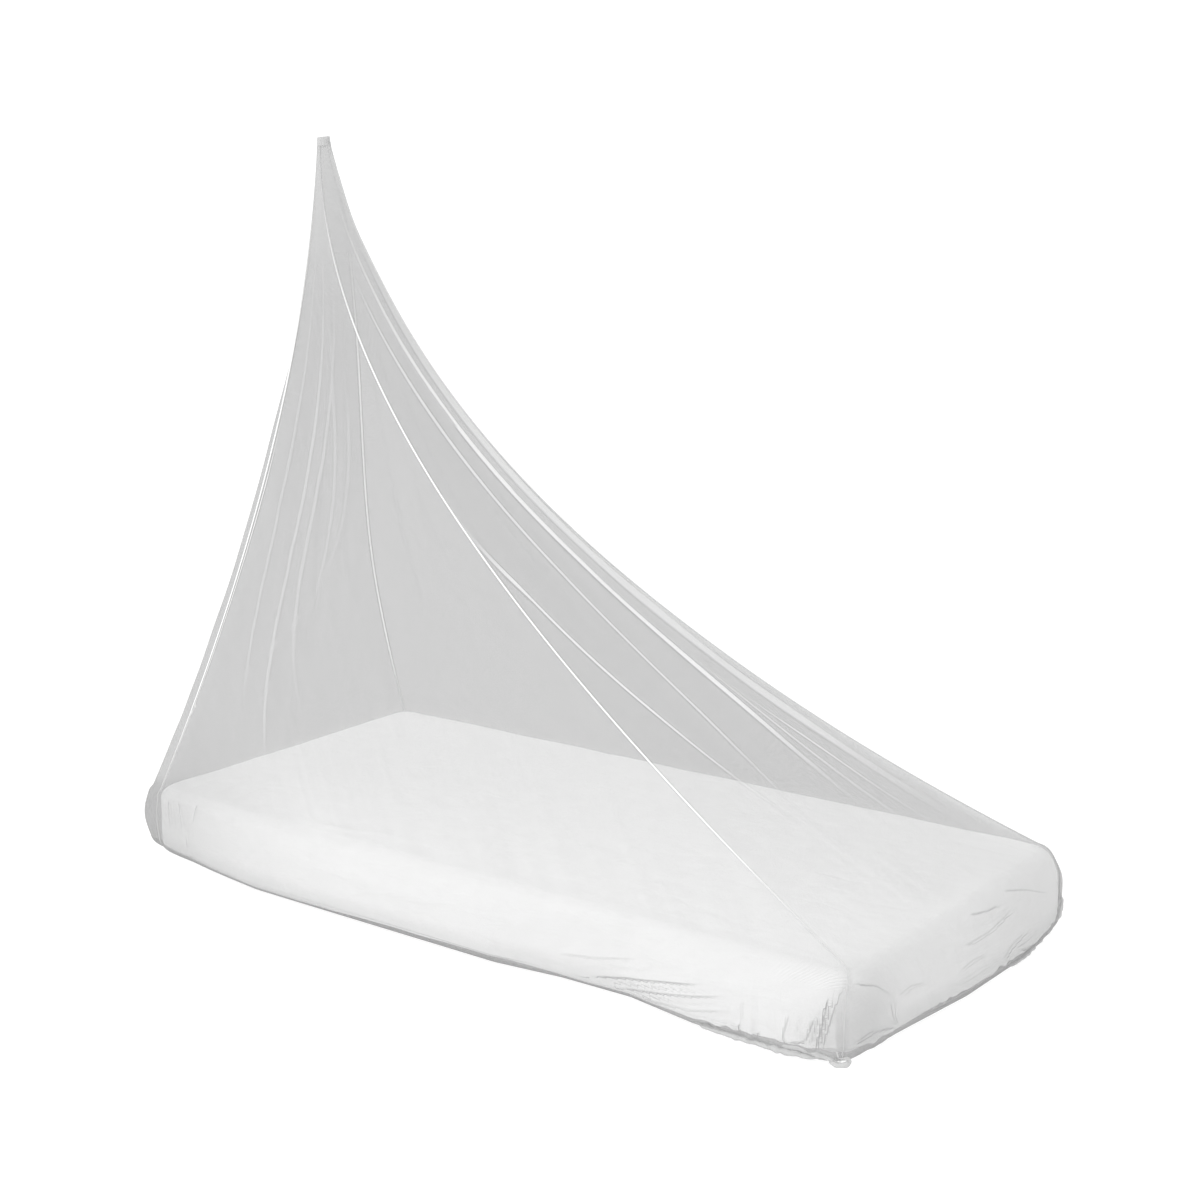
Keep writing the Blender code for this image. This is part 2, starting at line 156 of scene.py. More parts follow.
def seam_point(seam, base, q):
    """Where a seam is, seen from above, at the fraction q of the way down to its base point."""
    gone = seam.straight * q + (1 - seam.straight) * q**seam.power
    tip = tip_ring(seam.tip_angle)
    push = seam.push * rise(q, 0, 0.15) * fall(q, 0.75, 0.5)  # most in the upper half
    pull = seam.pull * rise(q, 0, 0.8) * fall(q, 1, 0.3)  # most in the lower half
    return tip + (base - tip) * gone + np.array([push, pull])


print(len(SEAMS), "seams,", len(PANELS), "panels")

# %% [markdown]
# ## The mattress's outline
# Seen from above, the cloth on the mattress follows a rectangle with round corners, a little outside it on
# the sides and inside it beneath. Only the corners are arcs. One helper gives a point of that outline for a
# place along one side, and the net and the bed sheet both use it.

# %% Outline of the mattress
ALONG_NEAR = (-0.82, -0.58, 0.12, 0.28, 0.45, 0.62, 0.84, 0.95)
NEAR_SWELL = (0.000, 0.027, 0.030, 0.010, 0.006, 0.035, 0.035, 0.018)  # metres, at those places along it
ALONG_FOOT = (-0.45, -0.28, -0.05, 0.20, 0.34, 0.45)
FOOT_SWELL = (0.000, 0.012, 0.030, 0.034, 0.030, 0.014)
FOOT_FLARE = (0.000, 0.004, 0.014, 0.018, 0.008, 0.000)  # more of it, where the cloth meets the floor
FAR_SWELL = 0.016
FAR_SWELL_FROM = (0.60, 0.30)  # where along the far side that begins, and over what length
SWELLS_FROM = (0.86, 0.36)  # how far from the bed's middle its ends and its long sides begin to swell
SWELL_SOFTNESS = 0.07
SWELL_TOP = 0.012  # from the mattress's top up to where the cloth begins to swell
SWELL_DROP = 0.09  # and how far down it swells fully
FLARE_TOP = 0.070  # height at which it begins to flare over the floor
FLARE_DROP = 0.06


def side_length(panel, out):
    """Length of one side of the rounded outline that lies out metres outside the mattress."""
    half = HALF_LENGTH if panel.along[0] else HALF_WIDTH
    radius = np.maximum(MATTRESS_CORNER + out, TUCK_CORNER)
    return 2 * (half + out - radius) + radius * pi / 2


def outline(panel, part, out):
    """Points along one side of that outline. part runs from 0 to 1, corner to corner."""
    half, reach = (HALF_LENGTH, HALF_WIDTH) if panel.along[0] else (HALF_WIDTH, HALF_LENGTH)
    half, reach = half + out, reach + out
    radius = np.minimum(np.maximum(MATTRESS_CORNER + out, TUCK_CORNER), np.maximum(half, 1e-6))
    straight = half - radius
    walked = (part - 0.5) * (2 * straight + radius * pi / 2)
    turned = np.clip((np.abs(walked) - straight) / radius, 0, pi / 4) * np.sign(walked)
    sideways = np.clip(walked, -straight, straight) + radius * np.sin(turned)
    outward = reach - radius + radius * np.cos(turned)
    return sideways[..., None] * np.array(panel.along) + outward[..., None] * np.array(panel.out)


def lift(points):
    """Raises what lies near the mattress's bottom head corners, which are soft."""
    x, y, z = points[..., 0], points[..., 1], points[..., 2]
    near_corner = np.clip(-x * np.abs(y) / (HALF_LENGTH * HALF_WIDTH), 0, 1)
    points[..., 2] += CORNER_LIFT * near_corner**CORNER_RISE * np.clip(1 - z / MATTRESS_TOP, 0, 1) ** 2
    return points


def swell(points):
    """Pushes out the low part of the cloth, which is bunched and not drawn tight round the mattress."""
    x, y, z = points[..., 0], points[..., 1], points[..., 2]
    low = fall(z, MATTRESS_TOP + SWELL_TOP, SWELL_DROP)
    lowest = fall(z, FLARE_TOP, FLARE_DROP)
    near = rise(-y, SWELLS_FROM[1], SWELL_SOFTNESS) * np.interp(x, ALONG_NEAR, NEAR_SWELL)
    far = rise(y, SWELLS_FROM[1], SWELL_SOFTNESS) * rise(x, *FAR_SWELL_FROM) * FAR_SWELL
    foot = low * np.interp(y, ALONG_FOOT, FOOT_SWELL) + lowest * np.interp(y, ALONG_FOOT, FOOT_FLARE)
    points[..., 1] += low * (far - near)
    points[..., 0] += foot * rise(x, SWELLS_FROM[0], SWELL_SOFTNESS)
    return points


print("long and short side", [round(side_length(panel, 0.0), 3) for panel in PANELS[:2]])

# %% [markdown]
# ## One row of net
# A panel is a stack of rows. In the tent a row is nearly a straight line from seam to seam, because net that
# is pulled between two seams has no slack. Below, a row lies on the mattress's edge, its side and under it.

# %% Rows in the tent
CONTACT_BLEND = 0.15  # share of a panel's width over which its seams' angle gives way to its own
BEND_OUT = 4  # a higher power keeps a row straight for longer on its way down to the mattress
LEAVE_TIP = 8  # a higher power makes a row leave the tip's oval sooner


def contact_angle(panel, part):
    """The angle round the mattress's top edge at which the net first touches it."""
    ends = np.where(part < 0.5, SEAMS[panel.first].contact, SEAMS[panel.last].contact)
    inner = smooth(np.minimum(part, 1 - part) / CONTACT_BLEND)
    return np.radians(ends + (panel.contact - ends) * inner)


def edge_point(angle, clearance):
    """Where cloth lies on the mattress's top edge, at that angle from straight up."""
    radius = MATTRESS_EDGE + clearance
    out = radius * np.sin(angle) - MATTRESS_EDGE
    return out, MATTRESS_TOP - MATTRESS_EDGE + radius * np.cos(angle)


def corner_base(seam, panel, part):
    """The base point of a seam: its touch on the mattress's corner."""
    out, _ = edge_point(np.array([radians(seam.contact)]), NET_CLEARANCE)
    return outline(panel, np.array([part]), out)[0]


def last_angle(panel):
    """The tip angle of a panel's last seam, counted on from its first seam."""
    angle = SEAMS[panel.last].tip_angle
    return angle + 360 if angle < SEAMS[panel.first].tip_angle else angle


def tent_row(panel, part, q):
    """Points of a panel's inner face at the fraction q of the way from the tip to the mattress."""
    first, last = SEAMS[panel.first], SEAMS[panel.last]
    bases = corner_base(first, panel, 0.0), corner_base(last, panel, 1.0)
    ends = seam_point(first, bases[0], q), seam_point(last, bases[1], q)
    out, height = edge_point(contact_angle(panel, part), NET_CLEARANCE)
    rim = outline(panel, part, out)
    along, away = np.array(panel.along), np.array(panel.out)
    across = ((rim - bases[0]) @ along / ((bases[1] - bases[0]) @ along))[:, None]
    points = ends[0] * (1 - across) + ends[1] * across
    chord = bases[0] * (1 - across) + bases[1] * across
    points += ((rim - chord) @ away)[:, None] * away * q**BEND_OUT
    tip_angles = first.tip_angle + (last_angle(panel) - first.tip_angle) * across[:, 0]
    straight_tip = tip_ring(first.tip_angle) * (1 - across) + tip_ring(last.tip_angle) * across
    points += (tip_ring(tip_angles) - straight_tip) * (1 - q) ** LEAVE_TIP
    return np.column_stack([points, NET_TOP - q * (NET_TOP - height)])


print("tip row spans", np.ptp(tent_row(PANELS[0], np.linspace(0, 1, 9), 0.0), axis=0).round(4))

# %% [markdown]
# ## The skirt
# On the mattress the net is pressed flat by its own pull. Near the foot corner on the near side the maker's
# spare cloth is bunched into upright folds, and the tucked part turns under and lies flat on the floor.

# %% Rows on the mattress
Gather = namedtuple("Gather", "panel corner reach pitch height")
GATHERS = (
    Gather("near_panel", 1, 0.340, 0.043, 0.0080),
    Gather("foot_panel", 0, 0.180, 0.050, 0.0080),
    Gather("foot_panel", 1, 0.130, 0.036, 0.0080),
    Gather("far_panel", 0, 0.160, 0.040, 0.0080),
)
GATHER_AT_TOP = 0.10  # how much of a bunched fold there is at the mattress's top edge
GATHER_WAVER = ((0.30, 43), (0.18, 101))  # sizes and rates that keep the folds from being evenly spaced
GATHER_UNLIKE = 0.35  # half the share by which the lowest fold is lower than the tallest
SEAM_HOLD = 0.012  # breadth beside a seam over which it holds the cloth down


def rows_for(panel, table):
    """The rows of a table that are about one panel."""
    return [row for row in table if row.panel == panel.name]


def gather_height(panel, part):
    """How far the bunched cloth by a corner stands out from the mattress's side."""
    height = np.zeros(len(part))
    for gather in rows_for(panel, GATHERS):
        away = np.abs(part - gather.corner) * side_length(panel, 0.0)
        turn = away / gather.pitch + sum(size * np.sin(rate * away) for size, rate in GATHER_WAVER)
        wave = 0.5 - 0.5 * np.cos(2 * pi * turn)
        wave *= 1 - GATHER_UNLIKE + GATHER_UNLIKE * np.sin(67 * away + 2)
        reaches = smooth(1.25 * (1 - away / gather.reach))
        height += gather.height * wave * reaches * rise(away, 0, SEAM_HOLD)
    return height


def skirt_row(panel, part, zone, along_zone):
    """Points of a panel's inner face on the mattress's edges and side, or beneath it."""
    bunched = gather_height(panel, part)
    if zone == "top_edge":
        start = contact_angle(panel, part)
        out, height = edge_point(start + (pi / 2 - start) * along_zone, NET_CLEARANCE)
        out = out + bunched * GATHER_AT_TOP * along_zone
    elif zone == "side":
        top, bottom = MATTRESS_TOP - MATTRESS_EDGE, MATTRESS_BOTTOM + MATTRESS_EDGE
        depth = GATHER_AT_TOP + (1 - GATHER_AT_TOP) * along_zone
        out = NET_CLEARANCE + SKIRT_SLACK * sin(pi * along_zone) + bunched * depth
        height = top + (bottom - top) * along_zone + 0 * part
    elif zone == "bottom_edge":
        angle = along_zone * pi / 2
        clearance = NET_CLEARANCE + (TOUCH_GAP - NET_CLEARANCE) * sin(angle)
        out = (MATTRESS_EDGE + clearance + bunched) * cos(angle) - MATTRESS_EDGE
        height = MATTRESS_BOTTOM + MATTRESS_EDGE - (MATTRESS_EDGE + clearance) * sin(angle) + 0 * part
    else:
        out = -MATTRESS_EDGE - (TUCK_DEPTH - MATTRESS_EDGE) * along_zone + 0 * part
        height = NET_THICKNESS + 0 * part
    return lift(np.column_stack([outline(panel, part, out), height]))


print("tallest bunched fold", gather_height(PANELS[0], np.linspace(0, 1, 400)).max().round(4))

# %% [markdown]
# ## A whole panel, before its folds
# The rows are laid one below the next, finely enough that a fold a few centimetres wide is round. They stay
# a millimetre short of the seam's middle line, where the tape covers both edges.

# %% Inner faces
TENT_ROWS = 110
TENT_CROWDING = 1.15  # above 1 the rows lie closer together towards the tip
TOP_EDGE_ROWS = 8
SIDE_ROWS = 26
BOTTOM_EDGE_ROWS = 8
TUCK_ROWS = 7
COLUMN_CROWDING = 0.04  # how much closer the columns lie towards the seams
TAPE_COVER = 0.0010  # from a panel's edge to the middle of the seam's tape


def rows_of_net():
    """Every row of a panel from the tip to the tucked hem, as a zone and the place in it."""
    rows = [("tent", (step / TENT_ROWS) ** TENT_CROWDING) for step in range(TENT_ROWS + 1)]
    for zone, steps in (
        ("top_edge", TOP_EDGE_ROWS),
        ("side", SIDE_ROWS),
        ("bottom_edge", BOTTOM_EDGE_ROWS),
        ("tuck", TUCK_ROWS),
    ):
        rows += [(zone, (step + 1) / steps) for step in range(steps)]
    return rows


def columns_of(panel):
    """Fractions of the way across a panel, a little closer together towards its seams."""
    even = np.linspace(0, 1, panel.columns + 1)
    return even - COLUMN_CROWDING * np.sin(2 * pi * even)


def inner_face(panel, part, room):
    """Points of a panel's inner face before its folds, row by row. room is kept clear at each seam."""
    face = []
    for zone, place in rows_of_net():
        if zone == "tent":
            ends = tent_row(panel, np.array([0.0, 1.0]), place)
            share = room / max(np.linalg.norm(ends[1] - ends[0]), 4 * room + 1e-6)
            face.append(tent_row(panel, share + part * (1 - 2 * share), place))
        else:
            out = -TUCK_DEPTH * place if zone == "tuck" else 0.0
            share = room / side_length(panel, out)
            face.append(skirt_row(panel, share + part * (1 - 2 * share), zone, place))
    return np.array(face)


def unit(ways):
    """The same ways, each one metre long."""
    return ways / np.maximum(np.linalg.norm(ways, axis=-1, keepdims=True), 1e-9)


def outward_of(face):
    """The outward way at each point of a face."""
    return unit(np.cross(np.gradient(face, axis=0), np.gradient(face, axis=1)))


def walked_along(line):
    """How far along a line each of its points is, in metres."""
    return np.concatenate([[0.0], np.cumsum(np.linalg.norm(np.diff(line, axis=0), axis=1))])


ROWS = rows_of_net()
ZONES = np.array([zone for zone, _ in ROWS])
DOWN = np.array([place if zone == "tent" else 1.0 for zone, place in ROWS])
print(len(ROWS), "rows in each panel")

# %% [markdown]
# ## Folds
# Where the net is gathered at the tip it falls in long folds that fade on the way down. Each is a soft ridge
# that follows a curved line from the tip to the mattress. A row gives its place across the panel at the tip,
# its bend and its place at the base, then where it starts and ends, its height and its width. The last two
# say how plainly its crest shows as a pale line of painted highlight, and how broad that is: there the cloth
# turns back on itself and its threads lie close together.

# %% Fold table
Fold = namedtuple("Fold", "panel at_tip bend at_base start end height width line breadth")
FOLD_TABLE = {
    "foot_panel": (
        (-0.10, -0.23, 0.46, 0.52, 0.93, 0.012, 0.026, 0.75, 0.0050),
        (0.20, 0.72, 0.33, 0.16, 0.94, 0.010, 0.026, 0.55, 0.0050),
        (0.63, 0.82, 0.61, 0.06, 0.95, 0.016, 0.028, 0.75, 0.0085),
        (0.50, 0.80, 0.79, 0.74, 0.98, 0.010, 0.024, 0.70, 0.0050),
        (0.98, 0.90, 0.89, 0.10, 0.99, 0.008, 0.022, 0.50, 0.0170),
        (0.70, 0.80, 0.70, 0.66, 0.99, 0.008, 0.022, 0.45, 0.0060),
    ),
    "far_panel": (
        (0.14, 0.10, 0.06, 0.06, 0.98, 0.024, 0.060, 0.00, 0.0040),
        (0.40, 0.35, 0.30, 0.10, 0.90, 0.007, 0.026, 0.10, 0.0045),
        (0.58, 0.52, 0.50, 0.08, 0.84, 0.008, 0.026, 0.12, 0.0045),
        (0.72, 0.69, 0.72, 0.10, 0.80, 0.007, 0.024, 0.10, 0.0045),
        (0.85, 0.84, 0.88, 0.08, 0.88, 0.008, 0.026, 0.12, 0.0045),
    ),
    "head_panel": (
        (0.62, 0.64, 0.66, 0.08, 0.80, 0.006, 0.020, 0.12, 0.0040),
        (0.40, 0.42, 0.40, 0.06, 0.85, 0.008, 0.020, 0.15, 0.0040),
        (0.20, 0.19, 0.16, 0.08, 0.76, 0.006, 0.020, 0.12, 0.0040),
    ),
    "near_panel": (
        (0.46, -0.03, 0.16, 0.10, 0.90, 0.007, 0.020, 0.20, 0.0050),
        (0.88, 0.00, 0.21, 0.12, 0.97, 0.008, 0.022, 0.24, 0.0055),
        (1.34, -0.15, 0.36, 0.20, 0.88, 0.007, 0.022, 0.20, 0.0055),
        (0.75, 0.48, 0.02, 0.24, 0.76, 0.005, 0.020, 0.16, 0.0050),
        (0.90, 0.68, -0.20, 0.30, 0.70, 0.004, 0.018, 0.12, 0.0050),
    ),
}
FOLDS = [Fold(panel, *row) for panel, rows in FOLD_TABLE.items() for row in rows]
FOLD_FADE = 0.15  # share of the way down over which a fold begins, and over which it ends
FOLD_FULL_WIDTH = 0.35  # a panel narrower than this has lower folds
FOLD_SEAM_ROOM = 0.03  # and they stay this far from its seams


def fold_place(fold, q):
    """Where a fold is at the fraction q of the way down, as a fraction of the way across its panel."""
    return fold.at_tip * (1 - q) ** 2 + 2 * fold.bend * q * (1 - q) + fold.at_base * q**2


def fold_fade(fold, q):
    """How much of a fold there is at the fraction q of the way down."""
    return rise(q, fold.start, FOLD_FADE) * fall(q, fold.end, FOLD_FADE)


# A flap is spare cloth beside a seam, which stands out as one long fold from the tip down over the mattress.
Flap = namedtuple("Flap", "panel corner away height width")
FLAPS = (Flap("head_panel", 1, 0.022, 0.036, 0.017),)


def flap_height(panel, from_first, from_last, show):
    """How far the flaps stand out, at distances in metres from the panel's two seams."""
    height = 0 * from_first
    for flap in rows_for(panel, FLAPS):
        away = from_last if flap.corner else from_first
        bulge = np.exp(-(((away - flap.away) / flap.width) ** 2))
        height = height + flap.height * show * bulge * rise(away, 0, SEAM_HOLD)
    return height


print(sum(fold.line > 0 for fold in FOLDS), "folds with a pale crest")

# %% [markdown]
# ## Raising the folds
# The ridges and the unevenness of hung net are added along the outward way at each point. The unevenness is
# long and narrow, because net that hangs from one point creases down its length and hardly across it.

# %% Fold heights
UNEVEN = 0.0030  # height of the unevenness, and then its size across the cloth and down it
UNEVEN_ACROSS = 0.045
UNEVEN_DOWN = 0.60


def row_widths(face):
    """Each row's straight width in metres, from seam to seam."""
    return np.linalg.norm(face[:, -1] - face[:, 0], axis=1)[:, None]


def fold_height(panel, part, q, width_here):
    """How far the folds of a panel stand out at the fraction q of the way down."""
    height = np.zeros(len(part))
    from_seam = np.minimum(part, 1 - part) * width_here
    for fold in rows_for(panel, FOLDS):
        away = np.abs(part - fold_place(fold, q)) * width_here / fold.width
        fade = fold_fade(fold, q) * min(1.0, width_here / FOLD_FULL_WIDTH)
        height += fold.height * fade * np.exp(-(away**1.5)) * rise(from_seam, 0, FOLD_SEAM_ROOM)
    return height


def unevenness(points, seed, across, down):
    """Smooth noise between -1 and 1, stretched along the cloth. points are places on the cloth in metres."""
    found = [noise.noise(Vector((u / across, v / down, seed))) for u, v in points.reshape(-1, 2)]
    return np.array(found).reshape(points.shape[:2])


def cloth_places(face):
    """Each point's place on the flat cloth in metres: across from its middle line, and down from the tip."""
    step = np.linalg.norm(np.diff(face, axis=1), axis=2)
    across = np.concatenate([np.zeros((len(face), 1)), np.cumsum(step, axis=1)], axis=1)
    across -= across[:, -1:] / 2
    down = walked_along(face[:, face.shape[1] // 2])
    return np.stack([across, np.repeat(down[:, None], face.shape[1], axis=1)], axis=2)


print("unevenness", UNEVEN * 1000, "mm")

# %% [markdown]
# The pale crests, a painted highlight, are drawn by the material, which needs to know how far each point is
# from the nearest one.
# That distance is signed and changes sign only on a crest, so it stays exact between the mesh's points, and
# a line a few millimetres wide is even on cells twice as wide.

# %% Crest lines
SEAM_LINE = 0.0020  # half the breadth of the pale line along a seam
BESIDE_TAPE = 0.0085  # from the near head seam's edge to the line of its second row of stitches
BESIDE_LINE = 0.0016  # and half that line's breadth
BESIDE_FROM = (0.40, 0.15)  # how far down it begins to show, and over what share of the way
BESIDE_PLAIN = (0.8, 0.3)  # how plain it is in the air and on the bed
SEAM_SHOWS = {"near_head_seam": 0.75, "near_foot_seam": 0.65, "far_foot_seam": 0.35, "far_head_seam": 0.9}
SEAM_OPENS = 0.30  # width of a row at which its seams show fully
SEAM_DIMS = (0.80, 0.16)  # how far down a seam's line dims over the white bed, and over what share
SEAM_DIM = 0.90  # and by how much
OPENS = (0.12, 0.38)  # how far down the gathered folds begin to open, and over what share
SHUT_PLAIN = 0.25  # above that, how plain their crests are
SHUT_BREADTH = 0.3  # and how broad


def crests_of(panel, part, width):
    """Each crest of a panel: signed distance in metres, half its breadth and how plain it is."""
    tent = (ZONES == "tent")[:, None]
    down = DOWN[:, None]
    opened = rise(down, *OPENS)
    for fold in rows_for(panel, FOLDS):
        away = (part - fold_place(fold, down)) * width
        shows = fold.line * fold_fade(fold, down) * (SHUT_PLAIN + (1 - SHUT_PLAIN) * opened)
        breadth = fold.breadth * (SHUT_BREADTH + (1 - SHUT_BREADTH) * opened)
        if fold.line:
            yield away, breadth, np.where(tent, shows, 0.0)
    in_air = 1 - SEAM_DIM * rise(down, *SEAM_DIMS)
    for seam, away in ((panel.first, part * width), (panel.last, (part - 1) * width)):
        yield away, SEAM_LINE, SEAM_SHOWS[SEAMS[seam].name] * rise(width, 0, SEAM_OPENS) * in_air
    if panel.name == "near_panel":
        shows = np.where(tent, BESIDE_PLAIN[0] * rise(down, *BESIDE_FROM), BESIDE_PLAIN[1])
        yield part * width - BESIDE_TAPE, BESIDE_LINE, shows


def crest_lines(panel, part, face):
    """For each point: signed distance to the nearest crest, half its breadth, and how plain it is."""
    sign = np.ones(face.shape[:2])
    nearest = np.full(face.shape[:2], 1e3)
    breadth, plain = 0 * nearest + SEAM_LINE, 0 * nearest
    for away, half, shows in crests_of(panel, part, row_widths(face)):
        closer = np.abs(away) - half < nearest - breadth
        breadth = np.where(closer, half, breadth)
        plain = np.where(closer, shows, plain)
        nearest = np.where(closer, np.abs(away), nearest)
        sign = np.where(away < 0, -sign, sign)
    return sign * nearest, breadth, plain


print("seam lines are", 2000 * SEAM_LINE, "mm wide")

# %% [markdown]
# ## Creases pressed into the cloth
# On the mattress the sheet and the net over it are creased together: long pulls towards the hem, short
# upright folds by the corners, slanting ones on the foot end. Each is a bent line on one face of the
# mattress, through two to four places, with its depth, its width and how dark the painted shade in its
# hollow is. Sheet and net both read this one table.

# %% Crease table
Crease = namedtuple("Crease", "side places depth width dark")
CREASE_TABLE = {
    "near": (
        (((0.36, 0.032), (0.48, 0.056), (0.66, 0.100)), 0.0035, 0.010, 0.75),
        (((0.43, 0.024), (0.54, 0.046), (0.71, 0.088)), 0.0030, 0.010, 0.55),
        (((0.28, 0.062), (0.36, 0.072), (0.49, 0.098)), 0.0020, 0.010, 0.25),
        (((0.47, 0.018), (0.62, 0.037), (0.73, 0.063)), 0.0020, 0.012, 0.25),
        (((0.50, 0.006), (0.62, 0.012), (0.71, 0.018), (0.82, 0.026)), 0.0000, 0.010, 0.95),
        (((-0.45, 0.004), (-0.28, 0.007), (-0.03, 0.014), (0.18, 0.020)), 0.0000, 0.010, 0.60),
        (((0.730, 0.042), (0.735, 0.016)), 0.0030, 0.009, 0.65),
        (((0.776, 0.036), (0.770, 0.014)), 0.0030, 0.009, 0.60),
        (((0.738, 0.090), (0.737, 0.042)), 0.0020, 0.010, 0.25),
        (((0.838, 0.086), (0.827, 0.041), (0.838, 0.012)), 0.0030, 0.010, 0.50),
        (((0.887, 0.088), (0.874, 0.040)), 0.0040, 0.009, 0.75),
        (((0.911, 0.133), (0.904, 0.082), (0.891, 0.024)), 0.0050, 0.010, 0.90),
        (((0.842, 0.033), (0.878, 0.040)), 0.0020, 0.010, 0.60),
        (((0.932, 0.158), (0.923, 0.107), (0.904, 0.027)), 0.0040, 0.010, 0.40),
        (((-0.944, 0.160), (-0.944, 0.108), (-0.917, 0.046)), 0.0020, 0.010, 0.80),
        (((-0.881, 0.157), (-0.872, 0.085)), 0.0020, 0.012, 0.28),
        (((-0.846, 0.160), (-0.831, 0.089)), 0.0020, 0.012, 0.28),
        (((-0.783, 0.165), (-0.793, 0.118)), 0.0020, 0.012, 0.25),
        (((-0.821, 0.085), (-0.819, 0.050)), 0.0020, 0.012, 0.20),
    ),
    "top": (
        (((-0.90, -0.43), (-0.93, -0.36), (-0.91, -0.27)), 0.0020, 0.014, 0.22),
        (((-0.85, -0.43), (-0.87, -0.31), (-0.81, -0.24)), 0.0020, 0.014, 0.20),
        (((-0.77, -0.43), (-0.80, -0.33), (-0.76, -0.26)), 0.0020, 0.014, 0.18),
        (((-0.71, -0.43), (-0.73, -0.32), (-0.66, -0.28)), 0.0020, 0.014, 0.15),
        (((-0.50, -0.41), (-0.38, -0.39), (-0.22, -0.35)), 0.0025, 0.014, 0.18),
    ),
    "foot": (
        (((-0.435, 0.160), (-0.370, 0.134), (-0.309, 0.087)), 0.0045, 0.018, 0.30),
        (((-0.316, 0.082), (-0.311, 0.056), (-0.298, 0.033)), 0.0045, 0.010, 0.60),
        (((-0.289, 0.086), (-0.250, 0.093), (-0.189, 0.082)), 0.0020, 0.012, 0.40),
        (((-0.070, 0.066), (-0.018, 0.072), (0.050, 0.065)), 0.0030, 0.010, 0.45),
        (((0.000, 0.156), (0.065, 0.146), (0.134, 0.141)), 0.0035, 0.010, 0.28),
        (((-0.065, 0.113), (0.046, 0.109), (0.183, 0.124)), 0.0040, 0.014, 0.42),
        (((0.156, 0.160), (0.240, 0.140), (0.332, 0.108)), 0.0030, 0.010, 0.20),
        (((0.169, 0.034), (0.244, 0.022), (0.309, 0.016)), 0.0020, 0.010, 0.50),
        (((0.099, 0.034), (0.144, 0.048), (0.238, 0.062)), 0.0030, 0.012, 0.40),
        (((-0.245, 0.026), (-0.121, 0.021), (0.010, 0.017), (0.330, 0.010)), 0.0000, 0.010, 0.95),
        (((0.397, 0.111), (0.419, 0.058), (0.417, 0.031)), 0.0030, 0.010, 0.75),
        (((-0.421, 0.040), (-0.376, 0.047), (-0.305, 0.030)), 0.0020, 0.010, 0.65),
    ),
}
CREASES = [Crease(side, *row) for side, rows in CREASE_TABLE.items() for row in rows]


def on_face(side, place):
    """A place on one face of the mattress as a point in space."""
    if side == "near":
        return np.array([place[0], -HALF_WIDTH, place[1]])
    if side == "foot":
        return np.array([HALF_LENGTH, place[0], place[1]])
    return np.array([place[0], place[1], MATTRESS_TOP])


print(len(CREASES), "creases")

# %% Distance from a crease
CREASE_LINE = 0.0026  # half the breadth of a crease's dark hollow
CREASE_ENDS = (0.15, 0.25)  # shares of a crease's length over which it begins and ends
TUCK_LINE_SPREAD = 5.0  # how much broader the line is where the net turns under
TUCK_AT = (-0.95, -0.60, -0.25, 0.10, 0.40, 0.55, 0.90)  # places along the near side, and for each:
TUCK_TURN = (0.35, 0.55, 0.68, 0.68, 0.68, 0.68, 0.68)  # how far round the bottom edge the line lies
TUCK_DARK = (1.80, 1.80, 1.30, 0.70, 1.00, 0.20, 0.10)  # and how dark the painted shade along it is
TUCK_TURN_FOOT = 0.68
TUCK_DARK_FOOT = 0.20
NEAR_SIDE = (0.38, 0.05)  # where the near side begins, from the bed's middle line, and over what breadth
FACE_NORMALS = {"near": (0, -1, 0), "foot": (1, 0, 0), "top": (0, 0, 1)}


def from_crease(crease, points):
    """Each point's signed distance from a crease, and how much of the crease's strength is left there."""
    line = [on_face(crease.side, place) for place in crease.places]
    lengths = [np.linalg.norm(end - start) for start, end in zip(line, line[1:])]
    nearest = np.full(points.shape[:-1], 1e3)
    sign, passed = np.ones_like(nearest), np.zeros_like(nearest)
    for index, (start, end) in enumerate(zip(line, line[1:])):
        run = end - start
        share = np.clip((points - start) @ run / lengths[index] ** 2, 0, 1)
        gap = points - start - share[..., None] * run
        away = np.linalg.norm(gap, axis=-1)
        closer = away < nearest
        right_of = gap @ np.cross(FACE_NORMALS[crease.side], run) < 0
        sign = np.where(closer, np.where(right_of, -1.0, 1.0), sign)
        gone = (sum(lengths[:index]) + share * lengths[index]) / sum(lengths)
        passed = np.where(closer, gone, passed)
        nearest = np.where(closer, away, nearest)
    return sign * nearest, rise(passed, 0, CREASE_ENDS[0]) * fall(passed, 1, CREASE_ENDS[1])


def tuck_line(face):
    """Signed distance from the line where the net turns under the mattress, and how dark its painted shade
    is there.
    """
    distance = np.full(face.shape[:2], 1e3)
    near = rise(-face[..., 1], *NEAR_SIDE)
    turn = TUCK_TURN_FOOT + near * (np.interp(face[..., 0], TUCK_AT, TUCK_TURN) - TUCK_TURN_FOOT)
    for row in np.flatnonzero(ZONES == "bottom_edge"):
        distance[row] = (ROWS[row][1] - turn[row]) * MATTRESS_EDGE * pi / 2 / TUCK_LINE_SPREAD
    dark = TUCK_DARK_FOOT + near * (np.interp(face[..., 0], TUCK_AT, TUCK_DARK) - TUCK_DARK_FOOT)
    return distance, dark


def press_lines(points):
    """The height of all creases at each point, and the signed distance and darkness of the nearest."""
    height = np.zeros(points.shape[:-1])
    distance, dark = height + 1e3, 0 * height
    for crease in CREASES:
        away, left = from_crease(crease, points)
        height += crease.depth * left * np.exp(-((away / crease.width) ** 2))
        closer = np.abs(away) < np.abs(distance)
        distance = np.where(closer, away, distance)
        dark = np.where(closer, crease.dark * left, dark)
    return height, distance, dark


print("hollows are", 2000 * CREASE_LINE, "mm wide")
